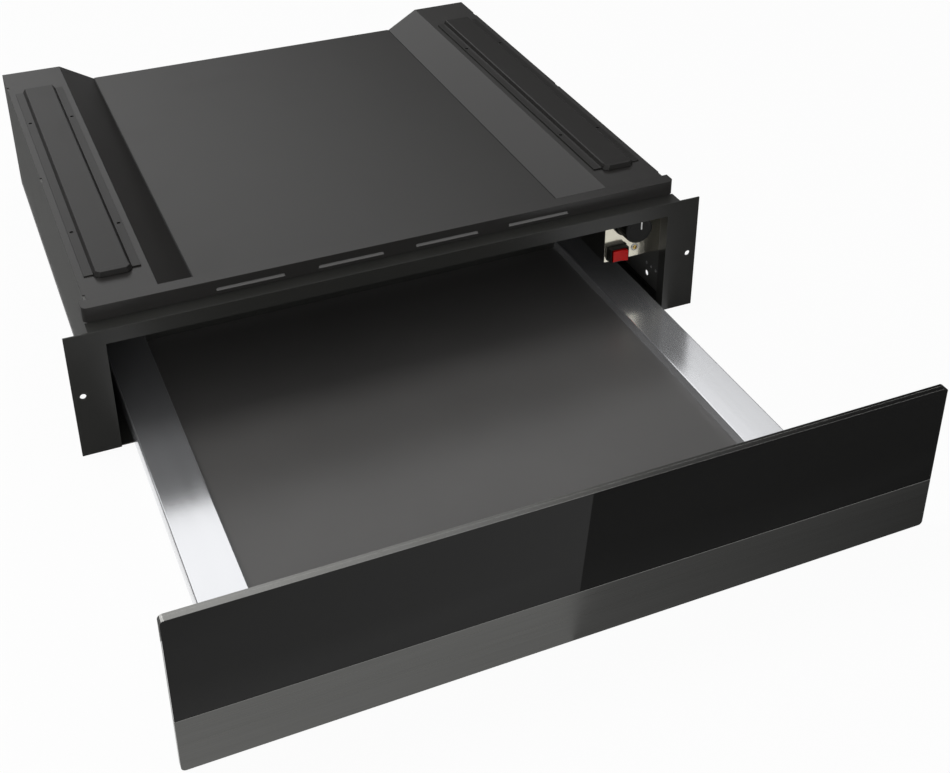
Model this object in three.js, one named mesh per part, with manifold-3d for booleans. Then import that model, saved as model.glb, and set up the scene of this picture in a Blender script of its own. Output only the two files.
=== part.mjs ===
// Built-in warming drawer, shown pulled open. Millimetres, +X right, +Y back, +Z up.
// The origin is the centre of the cabinet's underside. Inside the groups below, y = 0 is the
// front face of the fixing frame, and the drawer is drawn shut and then moved out as a whole.

import * as THREE from 'three';
import { mergeVertices } from 'three/addons/utils/BufferGeometryUtils.js';
import Module from 'manifold-3d';

const wasm = await Module();
wasm.setup();

// Cabinet
const cabinetWidth = 549;
const cabinetDepth = 527;
const cabinetHeight = 135;
const cabinetSheet = 1;
const baseLipHeight = 6;
const wallTopFlange = 12;
const shoulderWidth = 61.8;
const slopeWidth = 34.8;
const recessDepth = 20.6;
const seamGap = 1.2;
const shoulderLip = 12;
const wallNotchLength = 9;
const wallNotchDepth = 2;
const firstNotchY = 33;
const lastNotchInset = 42;
const wallHoleY = 45.8;
const wallHoleZ = 16.2;
const wallHoleRadius = 3;
const wallVentY = 19.3;
const wallVentZ = 28;
const wallVentPitch = 9.1;
const wallVentCount = 4;
const wallVentRadius = 0.9;

// Front header, the strip with the air slots
const headerOverhang = 4.5;
const headerHeight = 14.2;
const headerFrontY = 15.8;
const headerBackY = 29.4;
const headerCorner = 5;
const airSlotLength = 60.5;
const airSlotHeight = 3;
const airSlotPitch = 91;
const airSlotCount = 4;
const airSlotRise = 5;

// Fixing frame with its ears
const earWidth = 24.5;
const frameSheet = 1.5;
const mouthInset = 9;
const crossbarHeight = 13.9;
const stileReturn = 12;
const earHoleInset = 8.6;
const earHoleZ = 60.5;
const earHoleRadius = 2.7;

// Support rails on the shoulders
const railRearGap = 59.7;
const railFrontY = 65.3;
const railWidth = 49;
const railCrownWidth = 29;
const railWebRun = 1.6;
const railHeight = 5.2;
const railSheet = 1;
const railNose = 6.5;
const railHoleRadius = 1.7;
const railHoleInset = 3.5;
const railHoleSpacing = 242.3;

// Drawer tray
const traySideGap = 19.5;
const flangeWidth = 40.5;
const traySheet = 1;
const flangeTopZ = 19.1;
const trayBottomZ = 2.2;
const floorTopZ = 10.4;
const floorSheet = 1.2;
const floorLip = 14;
const trayRearGap = 38.6;
const travelToPhoto = 350;
const trayEdgeFold = 12;

// Drawer front
const frontSideGap = 0.5;
const frontHeight = 134.3;
const frontBottomZ = 3.8;
const frontShutGap = 2.1;
const glassThickness = 4;
const backingDepth = 2.5;
const backingSheet = 1;
const trimHeight = 46.1;
const trimJoint = 0.4;
const frontCorner = 3.5;
const lipGap = 0.2;
const bracketSheet = 1.5;
const bracketReach = 62;
const bracketHeight = 43;
const bracketTipHeight = 14;

// Telescopic ball runners, lying flat under the tray's flanges
const runnerWidth = 34;
const runnerRearGap = 62;
const runnerFrontY = 14;
const runnerSheet = 1.2;
const ballRadius = 2;
const ballClearance = 0.3;
const ballsPerRow = 4;
const ballPitch = 54;
const cageSheet = 0.6;
const outerWallHeight = 9.6;
const outerLipWidth = 1.6;
const middleFloorRise = 2.6;
const middleWallHeight = 5.8;
const innerPlateWidth = 28;
const innerSkirtRise = 5;

// Control box, knob and switch in the right front corner
const plateY = 26;
const plateWidth = 60.5;
const plateTopGap = 3.8;
const plateHeight = 63;
const plateSheet = 1;
const controlBoxDepth = 96;
const knobInset = 23.4;
const knobDrop = 19.7;
const knobRadius = 14;
const knobLength = 22;
const knobPlateGap = 1.2;
const knobSkirtRadius = 15;
const knobSkirtLength = 4;
const knobGrips = 18;
const knobGripDepth = 0.7;
const spindleRadius = 3;
const spindleClearance = 0.3;
const thermostatWidth = 36;
const thermostatHeight = 30;
const thermostatDepth = 22;
const thermostatBore = 14;
const switchInset = 12.8;
const switchRise = 10.2;
const switchWidth = 21;
const switchHeight = 17.5;
const switchStand = 8;
const switchWall = 1.6;
const switchHousingDepth = 20;
const rockerTilt = 7;
const rockerStand = 3.2;
const rockerClearance = 0.5;
const plateScrewInset = 32.9;
const plateScrewRise = 10;
const plateScrewRadius = 1.6;

// Fan heater at the back, over the tray
const heaterWidth = 220;
const heaterBottomZ = 24;
const heaterDepth = 86;
const heaterSheet = 0.8;
const fanWheelRadius = 31;
const fanWheelDepth = 16;
const fanBladeCount = 14;
const fanBladeSheet = 0.8;
const fanHubRadius = 8;
const fanShaftRadius = 2.5;
const fanBaffleGap = 8;
const fanFloorSheet = 1;
const elementRadius = 37.4;
const elementTube = 3.2;
const elementGapAngle = 46;
const motorStackWidth = 58;
const motorStackHeight = 48;
const motorStackDepth = 22;
const motorCapRadius = 15;
const motorCapDepth = 8;
const motorFootDepth = 14;
const intakeHoleRadius = 2;
const intakeRings = 4;
const intakePitch = 7;
const outletSlotLength = 44;
const outletSlotHeight = 4;
const outletSlotPitch = 10;
const outletSlotCount = 5;

// Electrical connection and safety cut-out
const glandInset = 67.5;
const glandZ = 60;
const glandRadius = 9;
const glandFlange = 13;
const glandProud = 3;
const glandBore = 4;
const glandNutRadius = 12.5;
const glandNutDepth = 4;
const capillaryRadius = 1.2;
const capillaryBend = 24;
const sensorRadius = 3;
const sensorLength = 60;
const capillaryLead = 40;
const harnessRadius = 4;
const harnessInset = 15.5;
const harnessRise = 22;
const harnessBend = 30;
const wireHole = 1;
const terminalWidth = 38;
const terminalHeight = 16;
const terminalDepth = 20;
const cutoutRadius = 8;
const cutoutDepth = 7;
const ventSlotLength = 46;
const ventSlotHeight = 3;
const ventSlotPitch = 9;
const ventSlotCount = 5;

// Push latch that lets the shut drawer spring out
const latchX = -165;
const latchWidth = 22;
const latchHeight = 15;
const latchLength = 28;
const plungerRadius = 3.5;
const plungerTravel = 4;
const latchGap = 0.3;

const fitGap = 0.3;

// Worked out once from the sizes above
const halfCabinet = cabinetWidth / 2;
const innerWallX = halfCabinet - cabinetSheet;
const headerWidth = cabinetWidth + 2 * headerOverhang;
const frameWidth = cabinetWidth + 2 * earWidth;
const frameHeight = cabinetHeight - headerHeight;
const openingWidth = cabinetWidth - 2 * mouthInset;
const earHoleX = frameWidth / 2 - earHoleInset;
const frontWidth = frameWidth - 2 * frontSideGap;
const trayWidth = cabinetWidth - 2 * traySideGap;
const wallNotchSpacing = (cabinetDepth - firstNotchY - lastNotchInset) / 2;
const railLength = cabinetDepth - railFrontY - railRearGap;
const recessZ = cabinetHeight - recessDepth;
const slopeTopX = halfCabinet - shoulderWidth;
const slopeFootX = slopeTopX - slopeWidth;
const openingTopZ = frameHeight - crossbarHeight;
const wallTopZ = cabinetHeight - cabinetSheet;
const backFaceY = cabinetDepth - cabinetSheet;
const halfTray = trayWidth / 2;
const wellX = halfTray - flangeWidth;
const frontDepth = glassThickness + backingDepth;
const frontBackY = -frontShutGap;
const frontFaceY = frontBackY - frontDepth;
const trayFrontY = frontBackY + bracketSheet;
const trayBackY = backFaceY - trayRearGap;
const runnerX = (wellX + halfTray) / 2;
const runnerBackY = backFaceY - runnerRearGap;
const plateLeftX = innerWallX - plateWidth;
const plateTopZ = frameHeight - plateTopGap;
const plateBottomZ = plateTopZ - plateHeight;
const knobX = plateLeftX + knobInset;
const knobZ = plateTopZ - knobDrop;
const switchX = plateLeftX + switchInset;
const switchZ = plateBottomZ + switchRise;
const plateScrewX = plateLeftX + plateScrewInset;
const plateScrewZ = plateBottomZ + plateScrewRise;
const knobBackY = plateY - knobPlateGap;
const knobFrontY = knobBackY - knobLength;
const heaterFrontY = backFaceY - heaterDepth;
const heaterTopZ = recessZ - cabinetSheet;
const fanZ = (heaterBottomZ + heaterTopZ) / 2;
const fanFrontY = heaterFrontY + heaterSheet + fanBaffleGap;
const fanBackY = fanFrontY + fanWheelDepth;
const glandX = innerWallX - glandInset;
const harnessX = innerWallX - harnessInset;
const harnessZ = plateBottomZ + harnessRise;
const sensorY = heaterFrontY - capillaryLead;
const motorFrontY = backFaceY - motorFootDepth - motorStackDepth - motorCapDepth;

const blackPaint = paint('cabinet paint', 0x2b2b29, 0.55, 0.3);
const greyPaint = paint('cover paint', 0x4a4a48, 0.5, 0.3);
const stainless = paint('stainless steel', 0xc9cacc, 0.28, 1);
const brushedDark = paint('dark brushed steel', 0x5a5a58, 0.4, 1);
const blackGlass = paint('black glass', 0x1c1c1b, 0.08, 0);
const floorCoat = paint('tray coating', 0x3c3b3c, 0.35, 0.2);
const zincSteel = paint('zinc steel', 0xa9abac, 0.4, 1);
const ballSteel = paint('ball steel', 0xd4d5d6, 0.2, 1);
const blackPlastic = paint('black plastic', 0x171717, 0.5, 0);
const redPlastic = paint('red plastic', 0xb3190f, 0.3, 0);
const motorSteel = paint('laminated steel', 0x6f7072, 0.6, 0.9);
const elementSheath = paint('element sheath', 0x4c4a46, 0.5, 0.9);
const palePlastic = paint('pale plastic', 0xd9d6cc, 0.55, 0);

function paint(name, color, roughness, metalness) {
  return new THREE.MeshStandardMaterial({ name, color, roughness, metalness });
}

// ---- Shape helpers ----

function mesh(name, geometry, material) {
  const piece = new THREE.Mesh(geometry, material);
  piece.name = name;
  return piece;
}

function box(x0, x1, y0, y1, z0, z1) {
  const geometry = new THREE.BoxGeometry(x1 - x0, y1 - y0, z1 - z0);
  return geometry.translate((x0 + x1) / 2, (y0 + y1) / 2, (z0 + z1) / 2);
}

function outline(points) {
  return new THREE.Shape(points.map(([a, b]) => new THREE.Vector2(a, b)));
}

// A section of (x, z) points or a shape, drawn out along Y.
function alongY(section, y0, y1) {
  const shape = Array.isArray(section) ? outline(section) : section;
  const geometry = new THREE.ExtrudeGeometry(shape, { depth: y1 - y0, bevelEnabled: false, curveSegments: 6 });
  return geometry.rotateX(Math.PI / 2).translate(0, y1, 0);
}

// A section of (y, z) points or a shape, drawn out along X.
function alongX(section, x0, x1) {
  const shape = Array.isArray(section) ? outline(section) : section;
  const geometry = new THREE.ExtrudeGeometry(shape, { depth: x1 - x0, bevelEnabled: false, curveSegments: 6 });
  const turn = new THREE.Matrix4().set(0, 0, 1, x0, 1, 0, 0, 0, 0, 1, 0, 0, 0, 0, 0, 1);
  return geometry.applyMatrix4(turn);
}

// A plan of (x, y) points or a shape, drawn up along Z.
function alongZ(plan, z0, z1) {
  const shape = Array.isArray(plan) ? outline(plan) : plan;
  const geometry = new THREE.ExtrudeGeometry(shape, { depth: z1 - z0, bevelEnabled: false, curveSegments: 6 });
  return geometry.translate(0, 0, z0);
}

// A round bar along Y.
function rod(x, z, radius, y0, y1, sides = 20) {
  const geometry = new THREE.CylinderGeometry(radius, radius, y1 - y0, sides);
  return geometry.translate(x, (y0 + y1) / 2, z);
}

// A ring or turned piece along Y, from (radius, y) points that start and end on the axis or close.
function turned(profile, x, z, sides = 24) {
  const points = profile.map(([r, y]) => new THREE.Vector2(r, y));
  return new THREE.LatheGeometry(points, sides).translate(x, 0, z);
}

// Folded sheet: the path is its outer face, and the metal lies to the left of the path.
function foldedSheet(path, thickness) {
  const inner = path.map((point, i) => {
    const before = i > 0 ? unitNormal(path[i - 1], point) : unitNormal(point, path[i + 1]);
    const after = i < path.length - 1 ? unitNormal(point, path[i + 1]) : before;
    const spread = 1 + before[0] * after[0] + before[1] * after[1];
    return [
      point[0] + (thickness * (before[0] + after[0])) / spread,
      point[1] + (thickness * (before[1] + after[1])) / spread,
    ];
  });
  return outline([...path, ...inner.reverse()]);
}

function unitNormal(a, b) {
  const length = Math.hypot(b[0] - a[0], b[1] - a[1]);
  return [-(b[1] - a[1]) / length, (b[0] - a[0]) / length];
}

function mirrorX(points) {
  return points.map(([a, b]) => [-a, b]).reverse();
}

function roundHole(x, z, radius, sides = 16) {
  const points = [];
  for (let i = 0; i < sides; i += 1) {
    const angle = (-2 * Math.PI * i) / sides;
    points.push(new THREE.Vector2(x + radius * Math.cos(angle), z + radius * Math.sin(angle)));
  }
  return new THREE.Path(points);
}

function slotHole(x, z, length, height) {
  const r = height / 2;
  const straight = length / 2 - r;
  const path = new THREE.Path();
  path.absarc(x + straight, z, r, Math.PI / 2, -Math.PI / 2, true);
  path.absarc(x - straight, z, r, -Math.PI / 2, -1.5 * Math.PI, true);
  path.closePath();
  return path;
}

function rectangle(x0, x1, z0, z1) {
  return outline([[x0, z0], [x1, z0], [x1, z1], [x0, z1]]);
}

// ---- Joining and cutting ----

function solid(geometry) {
  const bare = geometry.clone();
  bare.deleteAttribute('normal');
  bare.deleteAttribute('uv');
  const merged = mergeVertices(bare, 1e-4);
  const vertProperties = new Float32Array(merged.attributes.position.array);
  const triVerts = new Uint32Array(merged.index.array);
  return new wasm.Manifold(new wasm.Mesh({ numProp: 3, vertProperties, triVerts }));
}

function surface(manifold) {
  const result = manifold.getMesh();
  const geometry = new THREE.BufferGeometry();
  geometry.setAttribute('position', new THREE.BufferAttribute(result.vertProperties, 3));
  geometry.setIndex(new THREE.BufferAttribute(result.triVerts, 1));
  return geometry;
}

function joined(...geometries) {
  return surface(geometries.map(solid).reduce((whole, part) => whole.add(part)));
}

function cut(geometry, ...tools) {
  return surface(tools.map(solid).reduce((whole, tool) => whole.subtract(tool), solid(geometry)));
}

// ---- Cabinet ----

function basePan() {
  const lipX = innerWallX;
  const path = [
    [-lipX, baseLipHeight],
    [-lipX, 0],
    [lipX, 0],
    [lipX, baseLipHeight],
  ];
  return mesh('base_pan', alongY(foldedSheet(path, cabinetSheet), frameSheet, cabinetDepth), blackPaint);
}

// The wall stops short under the frame's shelf and carries an inward flange for the shoulder.
function sideWall(name, side) {
  const shelfZ = frameHeight - frameSheet;
  const wall = alongX(
    [
      [frameSheet, 0],
      [cabinetDepth, 0],
      [cabinetDepth, wallTopZ],
      [headerFrontY + cabinetSheet + fitGap, wallTopZ],
      [headerFrontY + cabinetSheet + fitGap, shelfZ],
      [frameSheet, shelfZ],
    ],
    innerWallX,
    halfCabinet,
  );
  const flange = box(
    halfCabinet - wallTopFlange,
    halfCabinet - cabinetSheet / 2,
    headerBackY,
    cabinetDepth,
    wallTopZ - cabinetSheet,
    wallTopZ,
  );
  const holes = [acrossHole(wallHoleY, wallHoleZ, wallHoleRadius, 12)];
  for (let i = 0; i < wallVentCount; i += 1) {
    holes.push(acrossHole(wallVentY + i * wallVentPitch, wallVentZ, wallVentRadius, 6));
  }
  const geometry = cut(joined(wall, flange), ...holes);
  return mesh(name, side > 0 ? geometry : mirrored(geometry), blackPaint);
}

function acrossHole(y, z, radius, sides) {
  const tool = new THREE.CylinderGeometry(radius, radius, 4 * cabinetSheet, sides);
  return tool.rotateZ(Math.PI / 2).translate(innerWallX, y, z);
}

// Mirrors a shape across x = 0 and turns its faces back outward.
function mirrored(geometry) {
  const flat = geometry.index ? geometry.toNonIndexed() : geometry.clone();
  flat.deleteAttribute('normal');
  flat.deleteAttribute('uv');
  const position = flat.attributes.position;
  const flipped = new Float32Array(position.array.length);
  for (let i = 0; i < position.count; i += 3) {
    [i, i + 2, i + 1].forEach((from, k) => {
      flipped[3 * (i + k)] = -position.getX(from);
      flipped[3 * (i + k) + 1] = position.getY(from);
      flipped[3 * (i + k) + 2] = position.getZ(from);
    });
  }
  const result = new THREE.BufferGeometry();
  result.setAttribute('position', new THREE.BufferAttribute(flipped, 3));
  return result;
}

// The back wall follows the shoulders and the recess between them.
function backWall() {
  const underTop = wallTopZ - cabinetSheet;
  const underRecess = recessZ - 2 * cabinetSheet;
  const slopeShift = cabinetSheet + fitGap;
  const half = [
    [innerWallX - cabinetSheet - fitGap, cabinetSheet],
    [innerWallX - cabinetSheet - fitGap, underTop],
    [slopeTopX + slopeShift, underTop],
    [slopeFootX + slopeShift, underRecess],
  ];
  const shape = outline([...half, ...mirrorX(half)]);
  for (let i = 0; i < ventSlotCount; i += 1) {
    const z = fanZ + (i - (ventSlotCount - 1) / 2) * ventSlotPitch;
    shape.holes.push(slotHole(-motorStackWidth, z, ventSlotLength, ventSlotHeight));
  }
  shape.holes.push(roundHole(glandX, glandZ, glandRadius + 2 * fitGap));
  return mesh('back_wall', alongY(shape, backFaceY, cabinetDepth), blackPaint);
}

// Plateau, slope and a lip that the centre panel lies on.
function topShoulder(name, side) {
  const lipZ = recessZ - cabinetSheet;
  const path = [
    [halfCabinet, cabinetHeight],
    [slopeTopX, cabinetHeight],
    [slopeFootX, lipZ],
    [slopeFootX - shoulderLip, lipZ],
  ];
  const sheet = alongY(foldedSheet(path, cabinetSheet), headerBackY, cabinetDepth);
  const notches = [0, 1, 2].map((step) => {
    const y = firstNotchY + step * wallNotchSpacing;
    const half = wallNotchLength / 2;
    return box(
      halfCabinet - wallNotchDepth,
      halfCabinet + cabinetSheet,
      y - half,
      y + half,
      wallTopZ - cabinetSheet,
      cabinetHeight + cabinetSheet,
    );
  });
  const geometry = cut(sheet, ...notches);
  return mesh(name, side > 0 ? geometry : mirrored(geometry), greyPaint);
}

function topCentrePanel() {
  const halfPanel = slopeFootX - seamGap;
  const geometry = box(-halfPanel, halfPanel, headerBackY - 2 * cabinetSheet, cabinetDepth, recessZ - cabinetSheet, recessZ);
  return mesh('top_centre_panel', geometry, greyPaint);
}

// A shallow shell that wraps the front corners, with a riser that closes the recess.
function topFrontHeader() {
  const outer = alongZ(headerPlan(0), frameHeight, cabinetHeight);
  const inner = alongZ(headerPlan(cabinetSheet), frameHeight - cabinetSheet, wallTopZ);
  const openBack = box(
    -headerWidth,
    headerWidth,
    headerBackY - 2 * cabinetSheet,
    headerBackY + cabinetSheet,
    frameHeight - cabinetSheet,
    wallTopZ,
  );
  const shell = solid(outer).subtract(solid(inner)).subtract(solid(openBack));
  const riserHalf = slopeFootX - seamGap;
  const riser = alongY(
    [
      [-riserHalf, recessZ],
      [riserHalf, recessZ],
      [slopeTopX, wallTopZ + cabinetSheet / 2],
      [-slopeTopX, wallTopZ + cabinetSheet / 2],
    ],
    headerBackY - cabinetSheet,
    headerBackY,
  );
  const slots = [];
  for (let i = 0; i < airSlotCount; i += 1) {
    const x = (i - (airSlotCount - 1) / 2) * airSlotPitch;
    const slot = new THREE.Shape(slotHole(x, frameHeight + airSlotRise, airSlotLength, airSlotHeight).getPoints(3));
    slots.push(alongY(slot, headerFrontY - cabinetSheet, headerFrontY + 2 * cabinetSheet));
  }
  const geometry = surface(slots.reduce((whole, slot) => whole.subtract(solid(slot)), shell.add(solid(riser))));
  return mesh('top_front_header', geometry, greyPaint);
}

function headerPlan(inset) {
  const x = headerWidth / 2 - inset;
  const front = headerFrontY + inset;
  const back = headerBackY - inset;
  const r = headerCorner - inset;
  const plan = new THREE.Shape();
  plan.moveTo(-x, back);
  plan.lineTo(-x, front + r);
  plan.absarc(-x + r, front + r, r, Math.PI, 1.5 * Math.PI, false);
  plan.lineTo(x - r, front);
  plan.absarc(x - r, front + r, r, -Math.PI / 2, 0, false);
  plan.lineTo(x, back);
  plan.closePath();
  return plan;
}

// One plate with ears and crossbar, a shelf under the header and returns round the mouth.
function fixingFrame() {
  const x = frameWidth / 2;
  const mouth = openingWidth / 2;
  const shape = outline([
    [-x, 0],
    [-mouth, 0],
    [-mouth, openingTopZ],
    [mouth, openingTopZ],
    [mouth, 0],
    [x, 0],
    [x, frameHeight],
    [-x, frameHeight],
  ]);
  shape.holes.push(roundHole(-earHoleX, earHoleZ, earHoleRadius, 24));
  shape.holes.push(roundHole(earHoleX, earHoleZ, earHoleRadius, 24));
  const plate = alongY(shape, 0, frameSheet);
  const half = headerWidth / 2 - cabinetSheet / 2;
  const shelf = box(-half, half, frameSheet / 2, headerFrontY + cabinetSheet / 2, frameHeight - frameSheet, frameHeight);
  const stiles = [-1, 1].map((side) => {
    const a = side * mouth;
    const b = side * (mouth + frameSheet);
    return box(Math.min(a, b), Math.max(a, b), frameSheet / 2, stileReturn, cabinetSheet + fitGap, openingTopZ);
  });
  return mesh('fixing_frame', joined(plate, shelf, ...stiles), blackPaint);
}

// Hat-section rail: two flanges, sloping webs, a crown, and a closed nose at the front.
function topRail(name, side) {
  const x = side * (halfCabinet - shoulderWidth / 2);
  const crown = railCrownWidth / 2;
  const foot = crown + railWebRun;
  const edge = railWidth / 2;
  const top = cabinetHeight + railHeight;
  const low = cabinetHeight;
  const hatPath = [
    [x + edge, low + railSheet],
    [x + foot, low + railSheet],
    [x + crown, top],
    [x - crown, top],
    [x - foot, low + railSheet],
    [x - edge, low + railSheet],
  ];
  const hat = alongY(foldedSheet(hatPath, railSheet), railFrontY, railFrontY + railLength);
  const nosePath = [
    [x + foot, low + fitGap],
    [x + crown, top],
    [x - crown, top],
    [x - foot, low + fitGap],
  ];
  const noseY = railFrontY - railNose;
  const nose = alongY(foldedSheet(nosePath, railSheet), noseY, railFrontY + railSheet);
  const noseEnd = alongY(nosePath, noseY, noseY + railSheet);
  const holes = [];
  for (const across of [-1, 1]) {
    for (const along of [-1, 1]) {
      const holeX = x + across * (edge - railHoleInset);
      const holeY = railFrontY + railLength / 2 + (along * railHoleSpacing) / 2;
      const tool = new THREE.CylinderGeometry(railHoleRadius, railHoleRadius, 4 * railSheet, 8);
      holes.push(tool.rotateX(Math.PI / 2).translate(holeX, holeY, low));
    }
  }
  return mesh(name, cut(joined(hat, nose, noseEnd), ...holes), blackPaint);
}

// ---- Runners ----

const raceWidth = 2 * (ballRadius + ballClearance);
const outerInsideX = runnerWidth / 2 - runnerSheet;
const middleOutsideX = outerInsideX - raceWidth;
const innerOutsideX = middleOutsideX - runnerSheet - raceWidth;
const baseTopZ = cabinetSheet;
const flangeUnderZ = flangeTopZ - traySheet;

function runnerOuter(name, side) {
  const x = side * runnerX;
  const half = runnerWidth / 2;
  const top = baseTopZ + outerWallHeight;
  const path = [
    [x - half + runnerSheet + outerLipWidth, top],
    [x - half, top],
    [x - half, baseTopZ],
    [x + half, baseTopZ],
    [x + half, top],
    [x + half - runnerSheet - outerLipWidth, top],
  ];
  return mesh(name, alongY(foldedSheet(path, runnerSheet), runnerFrontY, runnerBackY), zincSteel);
}

function runnerMiddle(name, side) {
  const x = side * runnerX;
  const bottom = baseTopZ + middleFloorRise;
  const top = bottom + middleWallHeight;
  const path = [
    [x - middleOutsideX, top],
    [x - middleOutsideX, bottom],
    [x + middleOutsideX, bottom],
    [x + middleOutsideX, top],
  ];
  return mesh(name, alongY(foldedSheet(path, runnerSheet), runnerFrontY, runnerBackY), zincSteel);
}

// Two skirts hang from a plate that is riveted under the tray's flange.
function runnerInner(name, side) {
  const x = side * runnerX;
  const plate = innerPlateWidth / 2;
  const skirtZ = baseTopZ + innerSkirtRise;
  const plateUnder = flangeUnderZ - runnerSheet;
  const out = innerOutsideX;
  const inside = out - runnerSheet;
  const section = [
    [x - plate, plateUnder],
    [x - out, plateUnder],
    [x - out, skirtZ],
    [x - inside, skirtZ],
    [x - inside, plateUnder],
    [x + inside, plateUnder],
    [x + inside, skirtZ],
    [x + out, skirtZ],
    [x + out, plateUnder],
    [x + plate, plateUnder],
    [x + plate, flangeUnderZ],
    [x - plate, flangeUnderZ],
  ];
  return mesh(name, alongY(section, runnerFrontY, runnerBackY), zincSteel);
}

// A thin channel that holds two rows of balls.
function ballCage(name, side, rowX, floorZ) {
  const x = side * runnerX;
  const ballZ = floorZ + cageSheet + ballRadius - ballClearance;
  const top = ballZ + ballRadius;
  const wall = rowX + cageSheet / 2;
  const path = [
    [x - wall, top],
    [x - wall, floorZ],
    [x + wall, floorZ],
    [x + wall, top],
  ];
  const middleY = (runnerFrontY + runnerBackY) / 2;
  const halfLength = ((ballsPerRow - 1) * ballPitch) / 2 + 3 * ballRadius;
  const channel = alongY(foldedSheet(path, cageSheet), middleY - halfLength, middleY + halfLength);
  const parts = [channel];
  for (let i = 0; i < ballsPerRow; i += 1) {
    const y = middleY + (i - (ballsPerRow - 1) / 2) * ballPitch;
    for (const row of [-1, 1]) {
      parts.push(new THREE.SphereGeometry(ballRadius, 6, 4).translate(x + row * rowX, y, ballZ));
    }
  }
  return mesh(name, joined(...parts), ballSteel);
}

// ---- Drawer ----

// Outer wall, broad flange, inner wall and a lip under the floor, folded from one sheet.
function traySide(name, side) {
  const lipZ = floorTopZ - floorSheet;
  const path = [
    [wellX - floorLip, lipZ - traySheet],
    [wellX + traySheet, lipZ - traySheet],
    [wellX + traySheet, flangeUnderZ],
    [halfTray - traySheet, flangeUnderZ],
    [halfTray - traySheet, trayBottomZ],
  ];
  const section = foldedSheet(path, traySheet);
  const geometry = alongY(section, trayFrontY, trayBackY);
  return mesh(name, side > 0 ? geometry : mirrored(geometry), stainless);
}

function trayFloor() {
  const geometry = box(
    -wellX,
    wellX,
    frontBackY + traySheet,
    trayBackY - traySheet,
    floorTopZ - floorSheet,
    floorTopZ,
  );
  return mesh('tray_floor', geometry, floorCoat);
}

// A cross rail that closes the well, with a top fold away from it and a lip under the floor.
function trayCrossRail(name, wallY, toward) {
  const lipZ = floorTopZ - floorSheet;
  const reach = wellX - floorLip - fitGap;
  const wall = [wallY, wallY + toward * traySheet];
  const lip = [wallY, wallY + toward * (traySheet + trayEdgeFold)];
  const upright = box(-wellX, wellX, Math.min(...wall), Math.max(...wall), lipZ, flangeTopZ);
  const stem = box(-reach, reach, Math.min(...wall), Math.max(...wall), lipZ - traySheet, lipZ + traySheet);
  const under = box(-reach, reach, Math.min(...lip), Math.max(...lip), lipZ - traySheet, lipZ);
  return mesh(name, joined(upright, stem, under), stainless);
}

// The front's outline between two heights, with cut corners and an even inset.
function frontOutline(z0, z1, cutLow, cutHigh, inset = 0) {
  const x = frontWidth / 2 - inset;
  const low = z0 + inset;
  const high = z1 - inset;
  const corner = frontCorner - inset * (2 - Math.SQRT2);
  const a = cutLow ? corner : 0;
  const b = cutHigh ? corner : 0;
  const right = [];
  if (a) right.push([x - a, low]);
  right.push([x, low + a], [x, high - b]);
  if (b) right.push([x - b, high]);
  return [...right, ...mirrorX(right)];
}

// The line under the top lip: it follows the cut corners at the lip's thickness.
function underLip(thickness) {
  const x = frontWidth / 2;
  const top = frontBottomZ + frontHeight;
  const drop = frontCorner + thickness * Math.SQRT2;
  return [
    [x, top - drop],
    [x - drop + thickness, top - thickness],
    [-x + drop - thickness, top - thickness],
    [-x, top - drop],
  ];
}

// A shallow steel pan behind the glass, whose top edge is turned forward over the glass.
function frontBacking() {
  const z1 = frontBottomZ + frontHeight;
  const x = frontWidth / 2;
  const padY = frontBackY - backingDepth;
  const block = alongY(frontOutline(frontBottomZ, z1, true, true), padY, frontBackY);
  const inner = frontOutline(frontBottomZ, z1, true, true, backingSheet);
  const hollow = alongY(inner, padY - backingSheet, frontBackY - backingSheet);
  const lipSection = [
    ...underLip(backingSheet),
    [-x, z1 - frontCorner],
    [-x + frontCorner, z1],
    [x - frontCorner, z1],
    [x, z1 - frontCorner],
  ].reverse();
  const lip = alongY(lipSection, frontFaceY, frontBackY - backingSheet / 2);
  return mesh('front_backing', joined(cut(block, hollow), lip), zincSteel);
}

function frontGlass() {
  const z0 = frontBottomZ + trimHeight + trimJoint;
  const x = frontWidth / 2;
  const section = [[-x, z0], [x, z0], ...underLip(backingSheet + lipGap)];
  return mesh('front_glass', alongY(section, frontFaceY, frontFaceY + glassThickness), blackGlass);
}

function frontTrimStrip() {
  const section = frontOutline(frontBottomZ, frontBottomZ + trimHeight, true, false);
  return mesh('front_trim_strip', alongY(section, frontFaceY, frontFaceY + glassThickness), brushedDark);
}

// An angle that bolts to the back of the front and runs back along the tray's outer wall.
function frontBracket(name, side) {
  const z0 = trayBottomZ + fitGap + frontBottomZ - trayBottomZ;
  const z1 = z0 + bracketHeight;
  const leg = alongX(
    [
      [frontBackY, z0],
      [frontBackY + bracketReach, z0],
      [frontBackY + bracketReach, z0 + bracketTipHeight],
      [frontBackY + bracketSheet * 2, z1],
      [frontBackY, z1],
    ],
    halfTray,
    halfTray + bracketSheet,
  );
  const foot = box(wellX, halfTray + bracketSheet / 2, frontBackY, trayFrontY, z0, z1);
  const geometry = joined(leg, foot);
  return mesh(name, side > 0 ? geometry : mirrored(geometry), zincSteel);
}

// ---- Controls ----

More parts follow.
